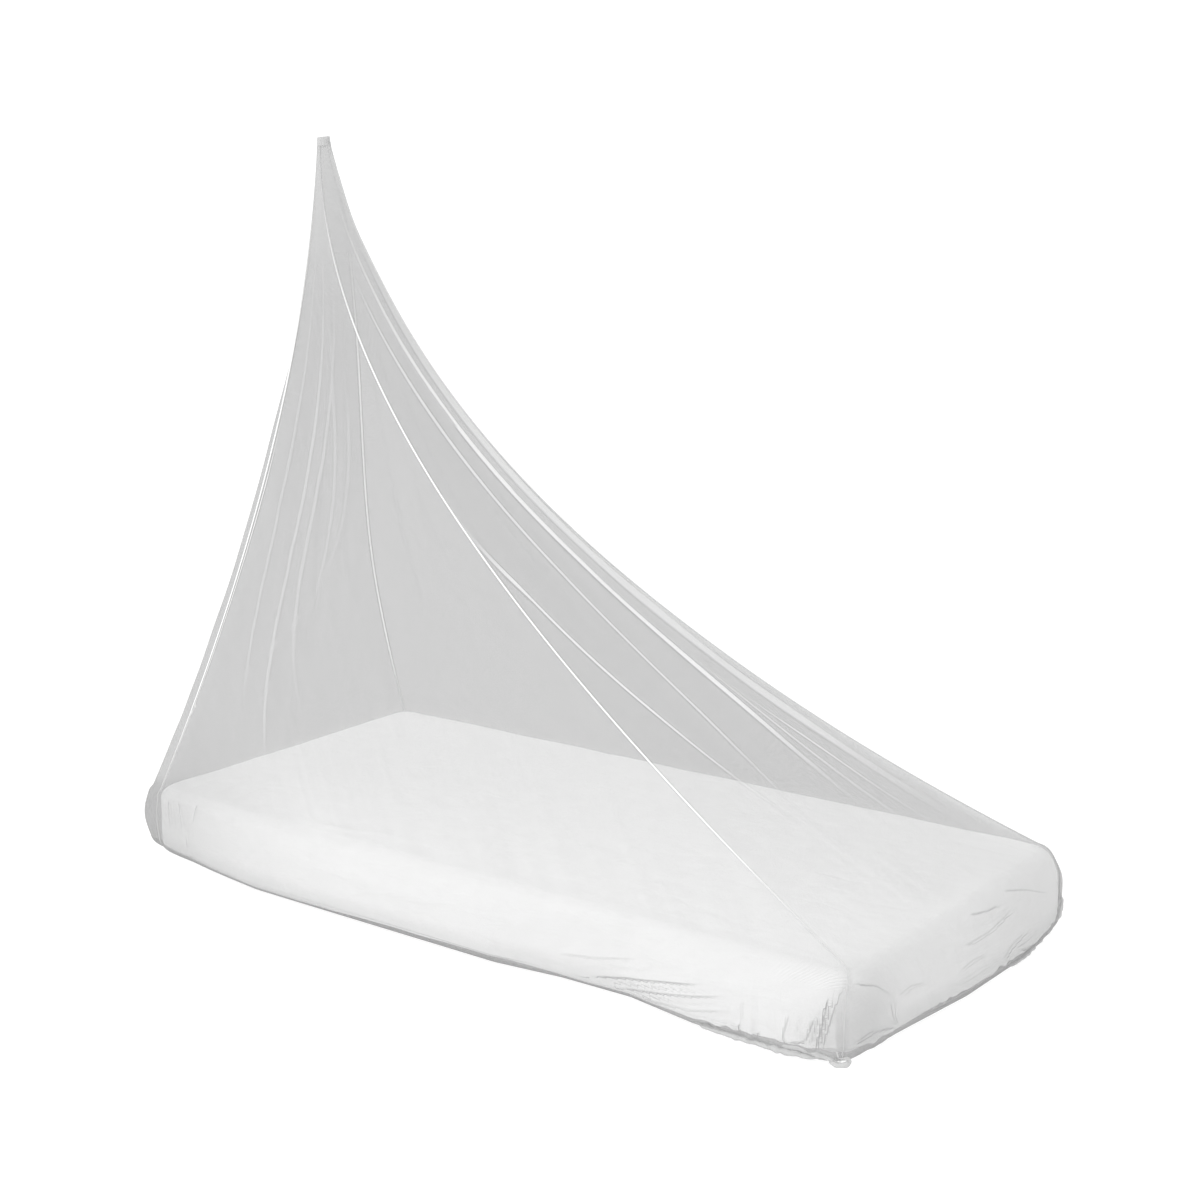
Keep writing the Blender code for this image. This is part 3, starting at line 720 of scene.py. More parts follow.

# %% [markdown]
# ## How dense the net looks
# Where layers of net lie together the net looks denser: in the gathered cloth below the tip, and where the
# hem is bunched. Extra layers also darken it towards the bottom of the mattress's side, and paint shade
# where it turns under and in the hollows by the corners. Pressed flat on the white sheet it looks thinner,
# because its open mesh shows white behind. Here each point gets its number of layers.

# %% Layers of net
LAYER_SEED = (40, 5.1)  # where the streaks' noise starts, and how far it moves on from panel to panel
ON_SHEET = 0.85
AT_TIP = 2.5
TIP_REACH = 0.10  # width of a row at which the gathered cloth has mostly opened
STREAKS = 0.08  # how unevenly the threads lie in the hung net, in layers
STREAK_ACROSS = 0.016
STREAK_DOWN = 0.50
THIN_STRIP = 0.36  # layers that are missing beside the far foot seam
THIN_REACH = 0.060
THIN_FROM = (0.30, 0.25)  # how far down that strip begins, and over what share of the way
FAR_FOOT = 2  # that seam's place in the table
LOW_ON_SIDE = 0.32  # extra layers, which darken the net towards the bottom of the mattress's side
LOW_FROM = (0.65, 0.35)  # how far down the side they begin, and over what share of it
AT_FOOT_EDGE = 0.35  # and more of them where the net turns under, as painted shade
BUNCHED_LESS = 0.8  # share of them that is missing where the hem is bunched
BUNCHED_FROM = (0.45, 0.2)  # where along the near side that begins, and over what length
FOOT_LESS = 0.5  # and the share that is missing under the foot end
FOOT_FROM = (0.90, 0.04)  # where the foot end begins
SEEN_OVER_TOP = (-0.82, -0.42, 0.50)  # places along the near panel, and for each:
OVER_TOP_FROM = (0.86, 0.90, 0.78)  # how far down the veil over the mattress's top starts to change
OVER_TOP = (0.28, -0.24, -0.24)  # and by how many layers it does
FOOT_OVER_TOP_FROM = (0.84, 0.16)  # the same for the foot panel, on its near half
FOOT_OVER_TOP_SIDE = (0.05, 0.35)  # where that half ends, and the breadth over which it does
RESTS_FROM = (0.985, 0.015)  # how far down the net is close enough to the bed to look as if it lay there
# Patches of extra layers, which darken the net: painted shade in the hollows by the corners, and bunched
# net.
BunchAndShade = namedtuple("BunchAndShade", "side place reach layers")
BUNCHES_AND_SHADE = (
    BunchAndShade("foot", (-0.395, 0.075), 0.070, 0.55),
    BunchAndShade("near", (-0.940, 0.100), 0.170, 0.75),
    BunchAndShade("near", (-0.720, 0.060), 0.240, 0.30),
    BunchAndShade("foot", (0.250, 0.070), 0.200, 0.22),
    BunchAndShade("near", (0.905, 0.050), 0.045, 0.30),
    BunchAndShade("foot", (0.430, 0.060), 0.060, 0.30),
)


def veil_over_top(panel, face):
    """Layers that come or go low in the near and foot panels, through which the mattress's top is seen."""
    down = DOWN[:, None]
    if panel.name == "foot_panel":
        near_half = fall(face[..., 1], *FOOT_OVER_TOP_SIDE)
        return OVER_TOP[-1] * rise(down, *FOOT_OVER_TOP_FROM) * near_half
    if panel.name == "near_panel":
        start = np.interp(face[..., 0], SEEN_OVER_TOP, OVER_TOP_FROM)
        return rise(down, start, 1 - start) * np.interp(face[..., 0], SEEN_OVER_TOP, OVER_TOP)
    return 0.0


def thin_by_seam(panel, part, width):
    """Layers that are missing beside the far foot seam, where the net is stretched and nothing overlaps."""
    if FAR_FOOT not in (panel.first, panel.last):
        return 0.0
    away = (1 - part) * width if panel.last == FAR_FOOT else part * width
    return THIN_STRIP * np.exp(-((away / THIN_REACH) ** 2)) * rise(DOWN[:, None], *THIN_FROM)


def low_on_side(face):
    """Extra layers towards the mattress's foot, with painted shade where the net turns under, but fewer
    where the hem is bunched.
    """
    side, turning = np.zeros((2, len(ROWS), 1))
    for row, (zone, place) in enumerate(ROWS):
        if zone == "side":
            side[row] = LOW_ON_SIDE * rise(place, *LOW_FROM)
        if zone == "bottom_edge":
            turning[row] = LOW_ON_SIDE + AT_FOOT_EDGE * smooth(1.4 * place)
    bunched = rise(face[..., 0], *BUNCHED_FROM) * rise(-face[..., 1], *NEAR_SIDE)
    at_foot = rise(face[..., 0], *FOOT_FROM)
    return (side + turning * (1 - FOOT_LESS * at_foot)) * (1 - BUNCHED_LESS * bunched)


def layers_of_net(panel, part, face, places):
    """How many layers of net there are at each point."""
    seed = LAYER_SEED[0] + PANELS.index(panel) * LAYER_SEED[1]
    streaks = unevenness(places, seed, STREAK_ACROSS, STREAK_DOWN)
    width = row_widths(face)
    layers = 1.0 + (AT_TIP - 1.0) * np.exp(-width / TIP_REACH) + STREAKS * streaks
    layers += veil_over_top(panel, face) - thin_by_seam(panel, part, width)
    resting = np.where(ZONES == "tent", rise(DOWN, *RESTS_FROM), 1.0)[:, None]
    on_bed = ON_SHEET + low_on_side(face)
    for bunch in BUNCHES_AND_SHADE:
        away = np.linalg.norm(face - on_face(bunch.side, bunch.place), axis=-1)
        on_bed = on_bed + bunch.layers * np.exp(-((away / bunch.reach) ** 2))
    return layers * (1 - resting) + on_bed * resting


print("tent 1 layer, on the sheet", ON_SHEET, "and at the tip", AT_TIP)

# %% [markdown]
# ## Node helpers
# A material is a small network of nodes. These helpers add a node with its settings and join its inputs to
# others, so that each material below reads as a list of what it does.

# %% Node helpers
def add(tree, kind, at, inputs=None, **settings):
    """A new node of a kind, placed at a column and a row, with its settings and input values."""
    made = tree.nodes.new("ShaderNode" + kind)
    made.location = (at[0] * 200, at[1] * -180)
    for name, value in settings.items():
        setattr(made, name, value)
    for name, value in (inputs or {}).items():
        if isinstance(value, bpy.types.NodeSocket):
            tree.links.new(value, made.inputs[name])
        else:
            made.inputs[name].default_value = value
    return made


def maths(tree, at, operation, *values):
    """A Math node's result, from numbers or sockets."""
    return add(tree, "Math", at, dict(enumerate(values)), operation=operation).outputs[0]


def reading(tree, at, name):
    """A value that the piece's own vertices carry."""
    return add(tree, "Attribute", at, attribute_name=name).outputs["Fac"]


def ramp(tree, at, value, given, wanted=(0.0, 1.0), kind="LINEAR"):
    """A value taken from one range to another. Its ends may be numbers or sockets."""
    ends = {"From Min": given[0], "From Max": given[1], "To Min": wanted[0], "To Max": wanted[1]}
    return add(tree, "MapRange", at, {"Value": value, **ends}, interpolation_type=kind).outputs[0]


def soft_ramp(tree, at, value, given, wanted=(0.0, 1.0)):
    """The same with an even turn at both ends."""
    return ramp(tree, at, value, given, wanted, "SMOOTHSTEP")


def grey_of(tree, at, value):
    """The grey colour of a value."""
    return add(tree, "CombineColor", at, {0: value, 1: value, 2: value}).outputs[0]


def new_material(name, roughness):
    """An empty material, its tree and its shader."""
    material = bpy.data.materials.new(name)
    material.use_nodes = True
    shader = material.node_tree.nodes["Principled BSDF"]
    shader.inputs["Roughness"].default_value = roughness
    return material, material.node_tree, shader


def new_group(name, inputs, outputs):
    """An empty node group with number or vector sockets, and its two end nodes."""
    group = bpy.data.node_groups.new(name, "ShaderNodeTree")
    for label, value in inputs.items():
        kind = "NodeSocketVector" if value is None else "NodeSocketFloat"
        socket = group.interface.new_socket(label, in_out="INPUT", socket_type=kind)
        if value is not None:
            socket.default_value = value
    for label in outputs:
        group.interface.new_socket(label, in_out="OUTPUT", socket_type="NodeSocketFloat")
    start = group.nodes.new("NodeGroupInput")
    end = group.nodes.new("NodeGroupOutput")
    end.location = (2400, 0)
    return group, start, end


print("node helpers ready")

# %% [markdown]
# ## The net's mesh
# Mosquito net is knitted in tiny six-sided cells. Two sets of cell centres, one shifted by half a step, make
# a honeycomb: the nearer centre wins, and the threads lie where a point is furthest from it. The group puts
# out how much thread there is, and both the hung net and the gathered heading use it.

# %% Honeycomb group
MESH_PITCH = 0.0016
THREAD = 0.16  # half a thread's breadth, in cells
FAR_OFF = 1000  # cells by which a place is moved, so that no coordinate is below zero
ROOT_THREE = 3**0.5


def nearest_centre(tree, row, place, shift):
    """The way from the nearest centre of one set, for a place counted in cells, and its length."""
    steps = (
        ("ADD", shift),
        ("MODULO", (1.0, ROOT_THREE, 1.0)),
        ("SUBTRACT", (0.5, ROOT_THREE / 2, 0.0)),
        ("MULTIPLY", (1, 1, 0)),
    )
    for column, (operation, value) in enumerate(steps, 2):
        place = add(tree, "VectorMath", (column, row), {0: place, 1: value}, operation=operation).outputs[0]
    return place, add(tree, "VectorMath", (6, row), {0: place}, operation="LENGTH").outputs["Value"]


def honeycomb_group():
    """Threads of a six-sided mesh: 1 on a thread, 0 in a hole."""
    inputs = {"Place": None, "Pitch": MESH_PITCH, "Thread": THREAD}
    group, start, end = new_group("honeycomb net", inputs, ["Threads"])
    rate = maths(group, (0, 1), "DIVIDE", 1.0, start.outputs["Pitch"])
    place = add(group, "VectorMath", (1, 0), {0: start.outputs["Place"], "Scale": rate}, operation="SCALE")
    sets = []
    for row, cells in ((0, FAR_OFF), (2, FAR_OFF + 0.5)):
        sets += nearest_centre(group, row, place.outputs[0], (cells, cells * ROOT_THREE, 0.0))
    first, first_away, second, second_away = sets
    nearer = maths(group, (7, 1), "LESS_THAN", second_away, first_away)
    chosen = add(group, "Mix", (8, 1), {0: nearer, 4: first, 5: second}, data_type="VECTOR").outputs[1]
    size = add(group, "VectorMath", (9, 1), {0: chosen}, operation="ABSOLUTE").outputs[0]
    slope = (0.5, ROOT_THREE / 2, 0)
    slanted = add(group, "VectorMath", (10, 0), {0: size, 1: slope}, operation="DOT_PRODUCT")
    upright = add(group, "SeparateXYZ", (10, 1), {0: size}).outputs[0]
    edge = maths(group, (11, 1), "MAXIMUM", slanted.outputs["Value"], upright)
    inner = maths(group, (11, 3), "SUBTRACT", 0.5, start.outputs["Thread"])
    group.links.new(soft_ramp(group, (12, 1), edge, (inner, 0.5)), end.inputs["Threads"])
    return group


HONEYCOMB = honeycomb_group()
print("honeycomb of", MESH_PITCH * 1000, "mm")

# %% [markdown]
# ## The hollow of a crease
# Light hardly gets into a sharp crease, so its hollow is painted as a fine dark line of shade. This group
# turns the signed distance from the nearest crease into that line, and both the net and the sheet use it.

# %% Hollow group
def hollow_group():
    """Painted shade: 1 in the middle of a crease's hollow and 0 outside it, times how dark the crease is."""
    inputs = {"Distance": 1.0, "Dark": 0.0, "Half Width": CREASE_LINE}
    group, start, end = new_group("crease hollow", inputs, ["Hollow"])
    away = maths(group, (0, 1), "ABSOLUTE", start.outputs["Distance"])
    share = maths(group, (1, 1), "DIVIDE", away, start.outputs["Half Width"])
    inside = soft_ramp(group, (2, 1), share, (0.25, 1.0), (1.0, 0.0))
    group.links.new(maths(group, (3, 1), "MULTIPLY", inside, start.outputs["Dark"]), end.inputs["Hollow"])
    return group


HOLLOW = hollow_group()


def add_hollow(tree, at):
    """The hollow of a piece's own creases, from its attributes."""
    distance = reading(tree, at, "press_distance")
    dark = reading(tree, (at[0], at[1] + 1), "press_dark")
    inputs = {"Distance": distance, "Dark": dark}
    return add(tree, "Group", (at[0] + 1, at[1]), inputs, node_tree=HOLLOW).outputs["Hollow"]


print("hollow group ready")

# %% [markdown]
# ## The net's finish
# The net is a light grey veil. Its alpha is worked out layer by layer: what one layer lets through is raised
# to the number of layers there. On a crest the threads lie close, so it is denser, and its colour is painted
# paler as a highlight, with a thin line of painted shade on each side where the cloth turns away.

# %% Net material
NET_GREY = 0.262
GATHERED_GREY = 0.47  # gathered threads scatter more light
# painted highlight: the colour of a crest
CREST_PAINTED_HIGHLIGHT = 0.85
CREST_DENSER = 1.6  # extra layers on a crest
BESIDE_DENSER = 0.9  # and in the darker line beside it
# painted shade: how much darker the colour is in the line beside a crest
BESIDE_PAINTED_SHADE = 0.10
ONE_LAYER = 0.57  # how much of what is behind one layer of net it hides
HOLE_SHARE = 0.55  # how much a hole hides, next to the average
THREAD_SHARE = 1.45  # and how much a thread does
PAINTED_SHADE_LAYERS = 2.6  # extra layers that paint the shade in a crease's hollow, and along the turn beneath the bed
EDGE_LINE = 0.0036  # breadth of the darker line beside a crest
SHADOW_SHARE = 0.25  # fine threads scatter light onward, so the net shades less than it hides


def crest_masks(tree):
    """The crest's painted highlight and the line of painted shade beside it, each already faded by how plain
    the crest is.
    """
    plain = reading(tree, (0, 1), "crest_plain")
    breadth = reading(tree, (0, 2), "crest_breadth")
    distance = maths(tree, (1, 0), "ABSOLUTE", reading(tree, (0, 0), "crest_distance"))
    share = maths(tree, (1, 1), "DIVIDE", distance, breadth)
    beyond = maths(tree, (1, 2), "SUBTRACT", distance, breadth)
    crest = soft_ramp(tree, (2, 0), share, (0.55, 1.1), (1.0, 0.0))
    beside = soft_ramp(tree, (2, 1), beyond, (0.5 * EDGE_LINE, EDGE_LINE), (1.0, 0.0))
    outer = maths(tree, (3, 1), "SUBTRACT", beside, crest)
    return maths(tree, (4, 0), "MULTIPLY", crest, plain), maths(tree, (4, 1), "MULTIPLY", outer, plain)


def net_alpha(tree, crest, beside):
    """How much of what is behind it the net hides, from its threads and its layers."""
    place = add(tree, "UVMap", (0, 4), uv_map="cloth").outputs[0]
    mesh = add(tree, "Group", (1, 4), {"Place": place}, node_tree=HONEYCOMB).outputs[0]
    grown = maths(tree, (5, 2), "MULTIPLY_ADD", crest, CREST_DENSER, 1.0)
    grown = maths(tree, (6, 2), "MULTIPLY_ADD", beside, BESIDE_DENSER, grown)
    grown = maths(tree, (6, 5), "MULTIPLY_ADD", add_hollow(tree, (3, 6)), PAINTED_SHADE_LAYERS, grown)
    layers = maths(tree, (7, 3), "MULTIPLY", reading(tree, (0, 3), "layers"), grown)
    hidden = ramp(tree, (3, 4), mesh, (0.0, 1.0), (HOLE_SHARE * ONE_LAYER, THREAD_SHARE * ONE_LAYER))
    through = maths(tree, (8, 4), "SUBTRACT", 1.0, hidden)
    through = maths(tree, (9, 4), "POWER", through, layers)
    hides = maths(tree, (10, 4), "SUBTRACT", 1.0, through)
    seen = add(tree, "LightPath", (9, 6)).outputs["Is Camera Ray"]
    share = ramp(tree, (10, 6), seen, (0.0, 1.0), (SHADOW_SHARE, 1.0))
    return maths(tree, (11, 4), "MULTIPLY", hides, share)


def net_material():
    """The fine grey net, for the panels and the rolled hem."""
    material, tree, shader = new_material("net", 0.75)
    shader.location = (2200, 0)
    crest, beside = crest_masks(tree)
    gathered = reading(tree, (3, 3), "gathered")
    grey = ramp(tree, (4, 3), gathered, (0.0, 1.0), (NET_GREY, GATHERED_GREY))
    # the crest is painted paler as a highlight, and the line beside it is darkened with painted shade
    pale = add(tree, "Mix", (6, 0), {0: crest, 2: grey, 3: CREST_PAINTED_HIGHLIGHT}, data_type="FLOAT").outputs[0]
    shaded = maths(tree, (7, 0), "MULTIPLY_ADD", beside, -BESIDE_PAINTED_SHADE, pale)
    tree.links.new(grey_of(tree, (8, 0), shaded), shader.inputs["Base Color"])
    tree.links.new(net_alpha(tree, crest, beside), shader.inputs["Alpha"])
    return material


net = net_material()
print("material", net.name, "hides", ONE_LAYER, "of what is behind one layer")

# %% [markdown]
# ## Sewing the panels
# Each panel is a grid that is laid on its face point by point, with its folds raised and its low part
# swelled. Its flat place becomes the UV map, so the mesh runs straight down every panel as it would on cut
# cloth. What the material has to know, such as the distance from a crest, is kept on the points as
# attributes.


def deselect():
    """Operators act on all that is selected, so nothing is left selected."""
    bpy.ops.object.select_all(action="DESELECT")


def just_made(name):
    """The piece that the last operator added, under its own name."""
    piece = bpy.context.object
    piece.name = name
    return piece


def points_of(piece):
    """The places of a piece's points."""
    flat = np.empty(len(piece.data.vertices) * 3)
    piece.data.vertices.foreach_get("co", flat)
    return flat.reshape(-1, 3)


def move_points(piece, points):
    """Moves a piece's points to new places, and shades it smooth."""
    piece.data.vertices.foreach_set("co", points.ravel())
    piece.data.update()
    piece.data.shade_smooth()


def grid_piece(name, points):
    """A grid whose points are laid on an array of rows and columns."""
    rows, columns = points.shape[0] - 1, points.shape[1] - 1
    deselect()
    bpy.ops.mesh.primitive_grid_add(x_subdivisions=columns, y_subdivisions=rows, size=1)
    piece = just_made(name)
    flat = points_of(piece)
    column = np.rint((flat[:, 0] + 0.5) * columns).astype(int)
    row = np.rint((flat[:, 1] + 0.5) * rows).astype(int)
    move_points(piece, points[row, column])
    return piece, row, column


def add_uv(piece, places):
    """A UV map named cloth, from each vertex's place on the flat cloth in metres."""
    piece.data.uv_layers[0].name = "cloth"
    corners = np.empty(len(piece.data.loops), int)
    piece.data.loops.foreach_get("vertex_index", corners)
    piece.data.uv_layers["cloth"].data.foreach_set("uv", places[corners].ravel())


def add_values(piece, **values):
    """Values for each vertex, by name, which a material can read."""
    for name, value in values.items():
        piece.data.attributes.new(name, "FLOAT", "POINT").data.foreach_set("value", value)


print("grid helpers ready")

# %% Panels
PANEL_SEED = 7.3  # moves the noise on from panel to panel, so that no two are alike
FREE_SIDE = 0.03  # breadth beside a seam that hangs evenly
FREE_WIDTH = 0.5  # a row narrower than this hangs more evenly
FREE_BASE = 0.1  # and so does the last share of the way down
FLAP_SHOWS = {
    "tent": lambda place: rise(place, 0.12, 0.35),
    "top_edge": lambda place: 1.0 + 0.2 * place,
    "side": lambda place: 1.2 + 0.30 * sin(pi * place),
    "bottom_edge": lambda place: 1.2 * (1.0 - smooth(2.2 * place - 1.2)),
    "tuck": lambda place: 0.0,
}


def raised_panel(panel, part, face, places):
    """A panel's face with its folds, its flap and the unevenness of hung net, swelled on the bed."""
    width = row_widths(face)
    height = np.full(face.shape[:2], NET_THICKNESS / 2)
    for row in np.flatnonzero(ZONES == "tent"):
        height[row] += fold_height(panel, part, DOWN[row], width[row, 0])
    from_seam = np.minimum(part, 1 - part) * width
    free = rise(from_seam, 0, FREE_SIDE) * rise(width, 0, FREE_WIDTH) * fall(DOWN, 1, FREE_BASE)[:, None]
    seed = PANELS.index(panel) * PANEL_SEED
    height += UNEVEN * free * unevenness(places, seed, UNEVEN_ACROSS, UNEVEN_DOWN)
    shown = np.array([FLAP_SHOWS[zone](place) for zone, place in ROWS])[:, None]
    flap = flap_height(panel, part * width, (1 - part) * width, shown)
    raised = face + height[:, :, None] * outward_of(face)
    return swell(raised + flap[:, :, None] * np.array([*panel.out, 0]))


def hollows_of(face):
    """Signed distance from the nearest crease, or from the turn beneath the bed, and how dark the painted
    shade there is.
    """
    _, distance, dark = press_lines(face)
    turn_distance, turn_dark = tuck_line(face)
    turning = np.abs(turn_distance) < np.abs(distance)
    dark = np.where(turning, turn_dark, dark) * ((ZONES != "tent") & (ZONES != "tuck"))[:, None]
    return np.where(turning, turn_distance, distance), dark


def make_panel(panel):
    """One hung panel of net, with its folds, and its points' places on the flat cloth."""
    part = columns_of(panel)
    face = inner_face(panel, part, TAPE_COVER)
    places = cloth_places(face)
    points = raised_panel(panel, part, face, places)
    sheet, row, column = grid_piece(panel.name.replace("panel", "net"), points)
    add_uv(sheet, places[row, column])
    press_distance, press_dark = hollows_of(face)
    add_values(sheet, press_distance=press_distance[row, column], press_dark=press_dark[row, column])
    distance, breadth, plain = crest_lines(panel, part, face)
    add_values(sheet, crest_distance=distance[row, column], crest_breadth=breadth[row, column])
    add_values(sheet, crest_plain=plain[row, column])
    layers = layers_of_net(panel, part, face, places)
    gathered = np.exp(-row_widths(face) / TIP_REACH) + 0 * part
    add_values(sheet, layers=layers[row, column], gathered=gathered[row, column])
    sheet.data.materials.append(net)
    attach(sheet, "root")
    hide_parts(panel.name)
    return sheet, places


nets = {}
for panel in PANELS:
    nets[panel.name], cloth = make_panel(panel)

# %% [markdown]
# ## The weave of tape and sheet
# Sheet, ticking and seam tape are plainly woven: threads pass over and under each other, which makes a check
# of tiny bumps. One group gives that height for any place in metres, and a soft tone that varies over the
# cloth. The sheet is washed cotton, so it is finely rumpled too, and the hollows of its creases are darkened
# with painted shade.

# %% Weave group
def weave_group():
    """Height of a plain weave between 0 and 1, and a soft tone that varies over the cloth."""
    group, start, end = new_group("plain weave", {"Place": None, "Pitch": 0.001}, ["Height", "Tone"])
    rate = maths(group, (0, 0), "DIVIDE", 2 * pi, start.outputs["Pitch"])
    place = add(group, "VectorMath", (1, 0), {0: start.outputs["Place"], "Scale": rate}, operation="SCALE")
    split = add(group, "SeparateXYZ", (2, 0), {0: place.outputs[0]}).outputs
    warp = maths(group, (3, 0), "SINE", split[0])
    weft = maths(group, (3, 1), "SINE", maths(group, (2, 2), "ADD", split[1], split[2]))
    check = maths(group, (4, 0), "MULTIPLY", warp, weft)
    height = maths(group, (5, 0), "MULTIPLY_ADD", check, 0.5, 0.5)
    soft = add(group, "TexNoise", (2, 4), {"Vector": start.outputs["Place"], "Scale": 22.0, "Detail": 3.0})
    group.links.new(height, end.inputs["Height"])
    group.links.new(soft.outputs["Fac"], end.inputs["Tone"])
    return group


WEAVE = weave_group()
print("weave group ready")

# %% Woven materials
HOLLOW_SHADE = 0.55  # painted shade: how much darker the hollow of a crease is
RUMPLE_DEPTH = 0.0040  # height of the fine rumples of washed cotton
RUMPLE_RATES = (7.0, 26.0, 1.0)  # rumples to the metre, along the sheet and across it
TAPE_PAINTED_GLOW = 0.10  # painted glow, which stands in for light coming through the thin white tape


def fade_tape(tree, shader, grey):
    """Tape fades to the grey of gathered net where its whiteness is low, and has a painted glow elsewhere.
    """
    white = reading(tree, (-4, 3), "whiteness")
    # painted glow, as white as the tape's whiteness
    tree.links.new(grey_of(tree, (-2, 4), white), shader.inputs["Emission Color"])
    shader.inputs["Emission Strength"].default_value = TAPE_PAINTED_GLOW
    inputs = {0: white, 2: GATHERED_GREY, 3: grey}
    return add(tree, "Mix", (-3, 1), inputs, data_type="FLOAT").outputs[0]


def rumple_sheet(tree, place):
    """The normal of finely rumpled cotton."""
    spread = add(tree, "Mapping", (-5, 6), {"Vector": place, "Scale": RUMPLE_RATES}).outputs[0]
    rumple = {"Vector": spread, "Scale": 1.0, "Detail": 4.0, "Distortion": 0.8}
    rumple = add(tree, "TexNoise", (-4, 6), rumple).outputs["Fac"]
    rumpled = {"Height": rumple, "Distance": RUMPLE_DEPTH, "Strength": 1.0}
    return add(tree, "Bump", (-3, 6), rumpled).outputs[0]


def woven_material(name, pitch, tone, roughness, depth, follows="cloth"):
    """A plainly woven white cloth, on the cloth's own UV map or on the solid's coordinates."""
    material, tree, shader = new_material(name, roughness)
    if follows == "cloth":
        place = add(tree, "UVMap", (-6, 0), uv_map="cloth").outputs[0]
    else:
        place = add(tree, "TexCoord", (-6, 0)).outputs["Object"]
    weave = add(tree, "Group", (-5, 0), {"Place": place, "Pitch": pitch}, node_tree=WEAVE).outputs
    grey = ramp(tree, (-3, 0), weave["Tone"], (0.3, 0.7), tone)
    bump = add(tree, "Bump", (-2, 2), {"Height": weave["Height"], "Distance": depth, "Strength": 0.5})
    if name == "seam tape":
        grey = fade_tape(tree, shader, grey)
    if name == "sheet cotton":
        # painted shade in the hollows of the creases
        kept = maths(tree, (-3, 4), "MULTIPLY_ADD", add_hollow(tree, (-6, 4)), -HOLLOW_SHADE, 1.0)
        grey = maths(tree, (-3, 3), "MULTIPLY", grey, kept)
        tree.links.new(rumple_sheet(tree, place), bump.inputs["Normal"])
    tree.links.new(grey_of(tree, (-2, 0), grey), shader.inputs["Base Color"])
    tree.links.new(bump.outputs[0], shader.inputs["Normal"])
    return material


tape_cloth = woven_material("seam tape", 0.0012, (0.90, 0.96), 0.6, 0.0003)
sheet_cotton = woven_material("sheet cotton", 0.0009, (0.91, 0.94), 0.8, 0.0002)
ticking = woven_material("mattress ticking", 0.0015, (0.88, 0.92), 0.85, 0.0003, follows="solid")
print("woven materials:", tape_cloth.name, sheet_cotton.name, ticking.name)

# %% [markdown]
# ## The taped seams
# Two panels meet in each corner seam, whose edges a narrow white tape binds. It is a flat tube swept along
# the seam: a cylinder is stretched over the seam's line, its rings turned so that the flat side lies on the
# cloth. Small swellings at the stitches keep it from looking drawn with a ruler.

# %% Sweeping a tube
TAPE_WIDTH = 0.0034
TAPE_DEPTH = 0.0030
TAPE_WHITE = (0.80, 0.75, 0.15, 0.85)  # how white each tape shows, next to the grey of gathered net
TAPE_ON_BED = 0.22  # how much of that is left where white cloth lies behind
TAPE_SIDES = 10
STITCH = 0.011
STITCH_SWELLING = 0.06  # how much thicker than the average the tape is at a stitch
TIP_NARROW = (0.55, 0.5)  # its share of the full width at the tip, and how fast it widens from there
BED_NARROW = 0.45  # how much narrower it is where it nears the bed
SEAM_SAMPLE = 0.004  # share of a panel's width at which the cloth beside a seam is felt
TAPE_SUNK = 0.0012  # how far a tape's end goes down into the heading
TAPE_OFF_FLOOR = 0.0002


def seam_line(index):
    """The middle line of a seam, its outward way and its way down, from the tip to the mattress's foot."""
    panel = next(panel for panel in PANELS if panel.first == index)
    before = PANELS[(PANELS.index(panel) - 1) % len(PANELS)]
    sample = np.array([0.0, SEAM_SAMPLE, 2 * SEAM_SAMPLE])
    face, other = inner_face(panel, sample, 0.0), inner_face(before, 1 - sample, 0.0)
    down = np.gradient(face[:, 0], axis=0)
    here = np.cross(down, face[:, 1] - face[:, 0])
    there = np.cross(down, other[:, 0] - other[:, 1])
    outward = unit(unit(here) + unit(there))
    kept = ZONES != "tuck"
    return swell(face[:, 0] + outward * NET_THICKNESS / 2)[kept], outward[kept]


def evenly(line, outward, step):
    """The same line with points an even step apart."""
    walked = walked_along(line)
    places = np.linspace(0, walked[-1], round(walked[-1] / step) + 1)
    line, outward = (
        np.stack([np.interp(places, walked, values[:, axis]) for axis in range(3)], axis=1)
        for values in (line, outward)
    )
    return line, unit(outward), places


def pick(piece, kind, chosen):
    """Selects only the faces or edges for which chosen() is true, and stays in edit mode."""
    bpy.ops.object.mode_set(mode="EDIT")
    bpy.ops.mesh.select_mode(type=kind)
    bpy.ops.mesh.select_all(action="DESELECT")
    bpy.ops.object.mode_set(mode="OBJECT")
    for element in piece.data.polygons if kind == "FACE" else piece.data.edges:
        element.select = bool(chosen(element))
    bpy.ops.object.mode_set(mode="EDIT")


def runs_along_z(piece, length):
    """A test for the edges of a piece that rise by more than a length."""
    corners = piece.data.vertices
    return lambda edge: abs(corners[edge.vertices[0]].co.z - corners[edge.vertices[1]].co.z) > length


def swept_tube(name, line, outward, half_width, half_depth):
    """A closed tube along a line. half_width and half_depth give its section at each point."""
    steps = len(line) - 1
    deselect()
    bpy.ops.mesh.primitive_cylinder_add(vertices=TAPE_SIDES, radius=1, depth=1)
    tube = just_made(name)
    pick(tube, "EDGE", runs_along_z(tube, 0.5))
    bpy.ops.mesh.subdivide_edgering(number_cuts=steps - 1, interpolation="LINEAR", smoothness=0)
    bpy.ops.object.mode_set(mode="OBJECT")
    side = unit(np.cross(outward, unit(np.gradient(line, axis=0))))
    points = points_of(tube)
    step = np.rint((0.5 - points[:, 2]) * steps).astype(int)
    spread = points[:, 0:1] * half_width[step, None] * side[step]
    spread += points[:, 1:2] * half_depth[step, None] * outward[step]
    angle = np.arctan2(points[:, 1], points[:, 0])
    move_points(tube, line[step] + spread)
    return tube, step, angle


print("tapes are", TAPE_WIDTH * 1000, "mm wide")

